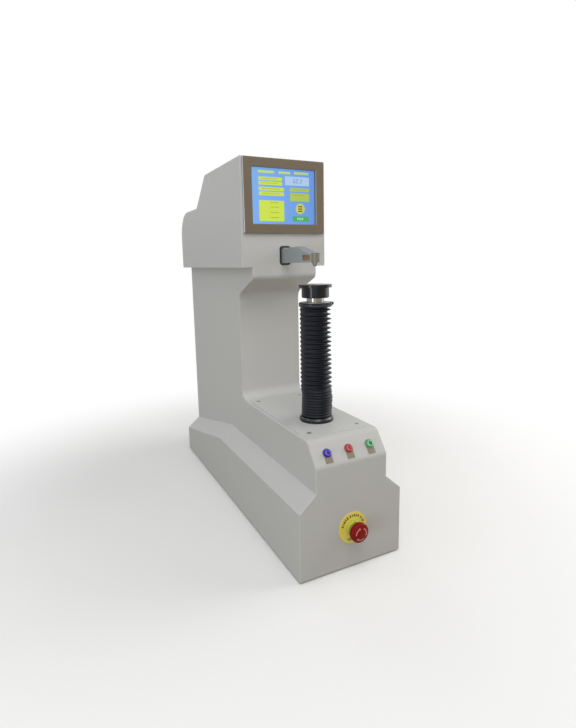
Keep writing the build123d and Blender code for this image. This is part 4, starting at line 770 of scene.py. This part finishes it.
# Painted shade: near black in the hexagon sockets, below the top of the head.
banded(screw_zinc, "Z", table_high[2] - 0.6 * MM, tint(30, 30, 30), 0.6, below=True)
screws = []
for side in (-1, 1):
    for y in (table_low[1] + HEAD, table_high[1] - HEAD):
        x = side * (table_high[0] - HEAD)
        bpy.ops.object.select_all(action="DESELECT")
        bpy.ops.mesh.primitive_circle_add(
            vertices=6,
            radius=SOCKET,
            fill_type="NGON",
            location=(x, y, table_high[2] - SOCKET_DEPTH),
        )
        screw = bpy.context.object
        bpy.ops.object.transform_apply(location=True, rotation=True, scale=True)
        bpy.ops.object.mode_set(mode="EDIT")
        bpy.ops.mesh.select_mode(type="EDGE")
        bpy.ops.mesh.select_all(action="SELECT")
        bpy.ops.mesh.subdivide(number_cuts=3)
        bpy.ops.mesh.select_all(action="DESELECT")
        bpy.ops.mesh.select_non_manifold()
        middle = (x, y, 0)
        bpy.ops.mesh.extrude_region_move(TRANSFORM_OT_translate={"value": (0, 0, SOCKET_DEPTH)})
        bpy.ops.mesh.extrude_region_move(TRANSFORM_OT_translate={"value": (0, 0, 0)})
        bpy.ops.transform.tosphere(value=1.0)
        widen = RIM / ROUNDED_SOCKET
        bpy.ops.transform.resize(value=(widen, widen, 1), center_override=middle)
        bpy.ops.mesh.extrude_region_move(TRANSFORM_OT_translate={"value": (0, 0, -head_cone)})
        neck = SHANK / HEAD
        bpy.ops.transform.resize(value=(neck, neck, 1), center_override=middle)
        bpy.ops.mesh.extrude_region_move(
            TRANSFORM_OT_translate={"value": (0, 0, table_low[2] - table_high[2] + head_cone)}
        )
        bpy.ops.mesh.edge_face_add()
        bpy.ops.mesh.select_all(action="SELECT")
        bpy.ops.mesh.remove_doubles(threshold=0.01 * MM)
        bpy.ops.mesh.normals_make_consistent(inside=False)
        bpy.ops.mesh.select_mode(type="VERT")
        bpy.ops.object.mode_set(mode="OBJECT")
        screws.append(screw)
table_screws = joined("table_socket_screws", screws, screw_zinc, "machine")
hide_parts("table_screws")
bpy.ops.object.shade_smooth_by_angle(angle=math.radians(30))

# ------------------------------------------------------------------ push-buttons
# Three round push-buttons with dished caps and collars of clear plastic, blue, red and green,
# in the tilted panel. Each comes through a grey-brown plate with a plain tongue below it. Each
# cap and its dish are lit and shaded copies of one colour; the darker dish is painted shade in
# the hollow.
def turned(centre, axis, steps, around=48, fold=35):
    """A turned piece: a disc drawn out along an axis through rings of (radius, distance)."""
    centre, axis = Vector(centre), Vector(axis).normalized()
    radius, out = steps[0]
    bpy.ops.object.select_all(action="DESELECT")
    bpy.ops.mesh.primitive_circle_add(
        vertices=around,
        radius=radius,
        fill_type="NGON",
        location=centre + axis * out,
        rotation=axis.to_track_quat("Z", "Y").to_euler(),
    )
    piece = bpy.context.object
    bpy.ops.object.transform_apply(location=True, rotation=True, scale=True)
    bpy.ops.object.mode_set(mode="EDIT")
    bpy.ops.mesh.select_all(action="SELECT")
    for next_radius, next_out in steps[1:]:
        step = tuple(axis * (next_out - out))
        grow = next_radius / radius
        bpy.ops.mesh.extrude_region_move(TRANSFORM_OT_translate={"value": step})
        bpy.ops.transform.resize(value=(grow, grow, grow), center_override=centre + axis * next_out)
        radius, out = next_radius, next_out
    bpy.ops.mesh.select_all(action="SELECT")
    bpy.ops.mesh.normals_make_consistent(inside=False)
    bpy.ops.object.mode_set(mode="OBJECT")
    bpy.ops.object.shade_smooth_by_angle(angle=math.radians(fold))
    return piece


def in_mm(*steps):
    """Rings of a turned piece given in millimetres."""
    return [(radius * MM, out * MM) for radius, out in steps]


SLANT_OUT = Vector((0, -0.8051, 0.5932))
CAP_BACK, CAP_FRONT = -7.2, 6.3
cap_wall = [(5.7, CAP_BACK), (5.7, 4.7), (5.45, 5.7), (4.9, CAP_FRONT)]
cap_profile = in_mm(*cap_wall, (4.1, 6.1), (3.4, 5.4), (0.6, 5.1))
dish_profile = in_mm((3.3, 4.9), (3.3, 5.5), (2.8, 5.75), (0.5, 5.9))
# Painted shade: the second colour of each pair is darker, for the dish in shadow.
CAP_COLOURS = {
    "blue": (tint(78, 58, 214), tint(34, 20, 92)),
    "red": (tint(206, 78, 88), tint(134, 30, 40)),
    "green": (tint(122, 200, 146), tint(36, 104, 58)),
}
for colour, (cap_colour, dish_shade_colour) in CAP_COLOURS.items():
    corners = [vertex.co for vertex in nodes[f"button_{colour}"].data.vertices]
    back = min(corner.dot(SLANT_OUT) for corner in corners)
    back_rim = [corner for corner in corners if corner.dot(SLANT_OUT) < back + 0.1 * MM]
    rim_low = Vector([min(corner[axis] for corner in back_rim) for axis in range(3)])
    rim_high = Vector([max(corner[axis] for corner in back_rim) for axis in range(3)])
    centre = (rim_low + rim_high) / 2 - SLANT_OUT * CAP_BACK * MM
    lens = surface(f"lens_{colour}", cap_colour, 0.25, grain=(300, 300, 300), relief=0.05, spread=0.08)
    lens.node_tree.nodes["Principled BSDF"].inputs["Coat Weight"].default_value = 0.4
    body, slot = f"{colour}_button", f"{colour}_lens"
    cap = joined(f"button_cap_{colour}", [turned(centre, SLANT_OUT, cap_profile)], lens, body)
    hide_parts(f"button_{colour}")
    dish = surface(f"dish_{colour}", dish_shade_colour, 0.3, grain=(300, 300, 300), relief=0.05, spread=0.12)
    joined(f"button_dish_{colour}", [turned(centre, SLANT_OUT, dish_profile)], dish, body)
COLLAR_SPLIT = 21.5 * MM
collar = surface("button_collar", tint(172, 66, 72), 0.35, grain=(600, 600, 600), relief=0.06, spread=0.08)
banded(collar, "X", -COLLAR_SPLIT, tint(70, 54, 178), 0.35, below=True)
banded(collar, "X", COLLAR_SPLIT, tint(92, 166, 114), 0.35)
label_grey = surface("label_grey_brown", tint(134, 126, 106), 0.5, 0.1, (500, 500, 500), 0.12, 0.06)
dress(collar, "button_bodies")
dress(label_grey, "button_labels")

# ------------------------------------------------------------------ emergency stop
# A 22 mm control device: a red mushroom on a collar, over a round yellow legend plate with
# dark marks round it. Three pale arrows on the dome show which way it twists to let go.
legend_low, legend_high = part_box("estop_legend")
STOP = Vector((0, legend_high[1], (legend_low[2] + legend_high[2]) / 2))
OUT = Vector((0, -1, 0))
FINE_PLASTIC = (500, 500, 500)
legend_yellow = surface(
    "legend_yellow", tint(238, 220, 96), 0.42, grain=FINE_PLASTIC, relief=0.08, spread=0.08
)
collar_yellow = surface(
    "collar_yellow_green", tint(184, 190, 70), 0.4, grain=FINE_PLASTIC, relief=0.08, spread=0.08
)
stop_black = surface("stop_black", tint(26, 26, 28), 0.45, grain=(600, 600, 600), relief=0.2, spread=0.15)
stop_steel = surface("stop_plated_steel", tint(170, 170, 166), 0.35, 0.9, (600, 600, 600), 0.1, 0.08)
dress(legend_yellow, "estop_legend")
dress(collar_yellow, "estop_body")
dress(stop_steel, "estop_nut", "estop_plunger")
dress(stop_black, "contact_block")

stop_red = surface(
    "stop_red", tint(130, 16, 13), 0.38, grain=(450, 450, 450), relief=0.08, spread=0.10, shine=0.14
)
DOME_EDGE, CROWN, MUSHROOM = 23.5, 27.5, 17.0
DOME_BALL = (MUSHROOM**2 + (CROWN - DOME_EDGE) ** 2) / (2 * (CROWN - DOME_EDGE))


def dome_out(radius):
    """How far out the dome of the mushroom stands at a radius, in millimetres."""
    return CROWN - DOME_BALL + math.sqrt(DOME_BALL**2 - radius**2)


dome_rings = [(r, dome_out(r)) for r in (16.2, 15, 13, 11, 9, 7, 5, 3, 1)]
stalk_rings = [(4.5, 17.5), (4.6, 13.1), (13.2, 13.0), (14.4, 13.5), (16.2, 15.2), (17, 16.6), (17, 22.6)]
mushroom = turned(STOP, OUT, in_mm(*stalk_rings, *dome_rings), around=72)
joined("stop_mushroom", [mushroom], stop_red, "estop_head")
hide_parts("estop_mushroom")

ARROW_RADIUS, ARROW_WIDTH, ARROW_SWEEP, ARROW_TIP = 10.2, 2.0, 66, 3.0
ARROW_HEAD, ARROW_POINT = 1.8, 0.05


def pick(piece, wanted):
    """Select the vertices of a mesh by a test of their place."""
    for vertex in piece.data.vertices:
        vertex.select = wanted(vertex.co)


arrows = []
for bearing in (-30, 90, 210):
    inner, outer = ARROW_RADIUS - ARROW_WIDTH / 2, ARROW_RADIUS + ARROW_WIDTH / 2
    bpy.ops.object.select_all(action="DESELECT")
    bpy.ops.mesh.primitive_plane_add(
        size=1,
        location=STOP + Vector((0, -dome_out(inner) * MM, ARROW_RADIUS * MM)),
        rotation=(math.pi / 2, 0, 0),
    )
    arrow = bpy.context.object
    arrow.scale = (0.3 * MM, ARROW_WIDTH * MM, 1)
    bpy.ops.object.transform_apply(location=True, rotation=True, scale=True)
    for part in (*arrow.data.edges, *arrow.data.polygons):
        part.select = False
    pick(arrow, lambda place: place.z > STOP.z + ARROW_RADIUS * MM)
    bpy.ops.object.mode_set(mode="EDIT")
    bpy.ops.mesh.select_mode(type="VERT")
    bpy.ops.transform.translate(value=(0, (dome_out(inner) - dome_out(outer)) * MM, 0))
    bpy.ops.object.mode_set(mode="OBJECT")
    pick(arrow, lambda place: place.x > 0)
    bpy.ops.object.mode_set(mode="EDIT")
    bpy.ops.mesh.spin(steps=10, angle=math.radians(ARROW_SWEEP), center=STOP, axis=OUT)
    bpy.ops.mesh.extrude_region_move(TRANSFORM_OT_translate={"value": (0, 0, 0)})
    bpy.ops.transform.resize(value=(ARROW_HEAD, 1, ARROW_HEAD))
    bpy.ops.mesh.spin(steps=2, angle=ARROW_TIP / ARROW_RADIUS, center=STOP, axis=OUT)
    bpy.ops.transform.resize(value=(ARROW_POINT, 1, ARROW_POINT))
    bpy.ops.mesh.select_all(action="SELECT")
    bpy.ops.mesh.remove_doubles(threshold=0.01 * MM)
    bpy.ops.mesh.normals_make_consistent(inside=False)
    bpy.ops.transform.rotate(value=math.radians(bearing), orient_axis="Y", center_override=STOP)
    bpy.ops.object.mode_set(mode="OBJECT")
    raised = arrow.modifiers.new("raised", "SOLIDIFY")
    raised.thickness = 0.5 * MM
    raised.offset = 0
    bpy.ops.object.modifier_apply(modifier="raised")
    arrows.append(arrow)
arrow_pink = surface("arrow_pink", tint(208, 120, 114), 0.4, grain=(500, 500, 500), spread=0.08)
joined("stop_arrows", arrows, arrow_pink, "estop_head")

MARK_RADIUS, MARK_HEIGHT, MARK_DEPTH = 22.0, 4.2, 0.2
legend_thickness = legend_high[1] - legend_low[1]
MARK_BEARINGS = [-74, -63, -52, -41, -30, -14, -3, 8, 19, 30, 46, 57, 68]
MARK_BEARINGS += [152, 163, 174, 185, 196, 207]
MARK_WIDTHS = (2.4, 1.5, 2.8, 1.9, 2.5)
marks = []
for order, bearing in enumerate(MARK_BEARINGS):
    turn = math.radians(bearing)
    bpy.ops.object.select_all(action="DESELECT")
    bpy.ops.mesh.primitive_cube_add(
        size=1,
        location=STOP + Vector((
            math.sin(turn) * MARK_RADIUS * MM,
            -legend_thickness - 0.05 * MM,
            math.cos(turn) * MARK_RADIUS * MM,
        )),
        rotation=(0, turn, 0),
    )
    mark = bpy.context.object
    mark.scale = (MARK_WIDTHS[order % 5] * MM, MARK_DEPTH * MM, MARK_HEIGHT * MM)
    bpy.ops.object.transform_apply(location=True, rotation=True, scale=True)
    bpy.ops.object.mode_set(mode="EDIT")
    bpy.ops.mesh.select_all(action="SELECT")
    bpy.ops.mesh.bevel(offset=0.08 * MM, segments=1, affect="EDGES")
    bpy.ops.object.mode_set(mode="OBJECT")
    marks.append(mark)
mark_ink = surface("legend_ink", tint(56, 50, 18), 0.5, grain=(500, 500, 500), spread=0.15)
joined("legend_marks", marks, mark_ink, "machine")

# ------------------------------------------------------------------ mains inlet and rocker
# A moulded black inlet with a rocker switch above the socket, clipped into the rear wall of
# the base. The rocker carries a white ring for off on its lower half.
inlet_black = surface("inlet_black", tint(28, 28, 30), 0.42, grain=(700, 700, 700), relief=0.25, spread=0.12)
rocker_black = surface(
    "rocker_black", tint(22, 22, 24), 0.28, grain=(700, 700, 700), relief=0.08, spread=0.12
)
dress(inlet_black, "mains_inlet")
dress(rocker_black, "power_rocker")
rocker_low, rocker_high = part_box("power_rocker")
ROCKER_X = (rocker_low[0] + rocker_high[0]) / 2
ROCKER_MIDDLE = (rocker_low[2] + rocker_high[2]) / 2
ROCKER_RISE = 3.25 * MM
FLAT_FACE = rocker_high[1] - ROCKER_RISE
RING_DROP = 4.8 * MM
mark_white = surface("rocker_mark_white", tint(225, 225, 220), 0.5, grain=(500, 500, 500), spread=0.04)
off_ring = turned(
    (ROCKER_X, FLAT_FACE, ROCKER_MIDDLE - RING_DROP),
    (0, 1, 0),
    in_mm((2.2, -0.3), (2.2, 0.08), (2.05, 0.14), (1.65, 0.14), (1.55, -0.2), (0.4, -0.25)),
    around=32,
)
joined("rocker_off_ring", [off_ring], mark_white, "rocker")

# ------------------------------------------------------------------ rear cover screws
# Pan head screws of zinc plated steel hold the removable rear cover to the column. They are
# undone to reach the load frame and its motor.
cover_zinc = surface("cover_screw_zinc", tint(150, 150, 146), 0.34, 0.9, (900, 900, 900), 0.12, 0.08)
dress(cover_zinc, "rear_cover_screws")

# ------------------------------------------------------------------ lift drive
# Inside the base a geared motor turns the lift nut through a toothed belt. The nut runs in
# bronze in a cast housing, on a ball thrust bearing.
nut_bronze = surface("nut_bronze", tint(176, 138, 78), 0.36, 0.9, (300, 300, 1500), 0.1, 0.08)
bearing_steel = surface("bearing_steel", tint(172, 174, 178), 0.22, 1.0, (200, 200, 1500), 0.05, 0.05)
pulley_aluminium = surface("pulley_aluminium", tint(180, 182, 184), 0.38, 0.9, (200, 200, 1500), 0.12, 0.06)
belt_black = surface("belt_black", tint(30, 30, 31), 0.7, grain=(900, 900, 900), relief=0.4, spread=0.2)
plate_zinc = surface("plate_zinc", tint(162, 162, 156), 0.45, 0.8, (120, 120, 120), 0.12, 0.10)
dress(nut_bronze, "lift_nut")
dress(bearing_steel, "thrust_bearing", "motor_shaft")
dress(pulley_aluminium, "nut_pulley", "motor_pulley")
dress(belt_black, "drive_belt")
dress(cast_iron, "nut_housing")
dress(plate_zinc, "motor_plate", "display_module")
dress(motor_black, "lift_motor")

# ------------------------------------------------------------------ electrics
# The power supply in its plated case, the motor driver with its black heat sink, and the
# control board on standoffs, all screwed down in the bays of the base.
case_zinc = surface("supply_case_zinc", tint(170, 172, 170), 0.4, 0.85, (60, 900, 900), 0.15, 0.08)
driver_black = surface("driver_black", tint(40, 41, 44), 0.4, 0.5, (60, 900, 900), 0.2, 0.12)
board_green = surface("board_green", tint(26, 92, 52), 0.4, grain=(260, 260, 260), relief=0.2, spread=0.25)
dress(case_zinc, "power_supply")
dress(driver_black, "motor_driver")
dress(board_green, "control_board")

# ------------------------------------------------------------------ base plate and feet
# A folded steel plate closes the base from below. Four rubber feet on threaded stems carry
# the machine and level it.
plate_black = surface("base_plate_black", tint(62, 62, 60), 0.55, 0.3, (500, 500, 500), 0.25, 0.10)
foot_rubber = surface("foot_rubber", tint(32, 32, 32), 0.75, grain=(600, 600, 600), relief=0.4, spread=0.2)
dress(plate_black, "base_plate")
dress(foot_rubber, "levelling_feet")
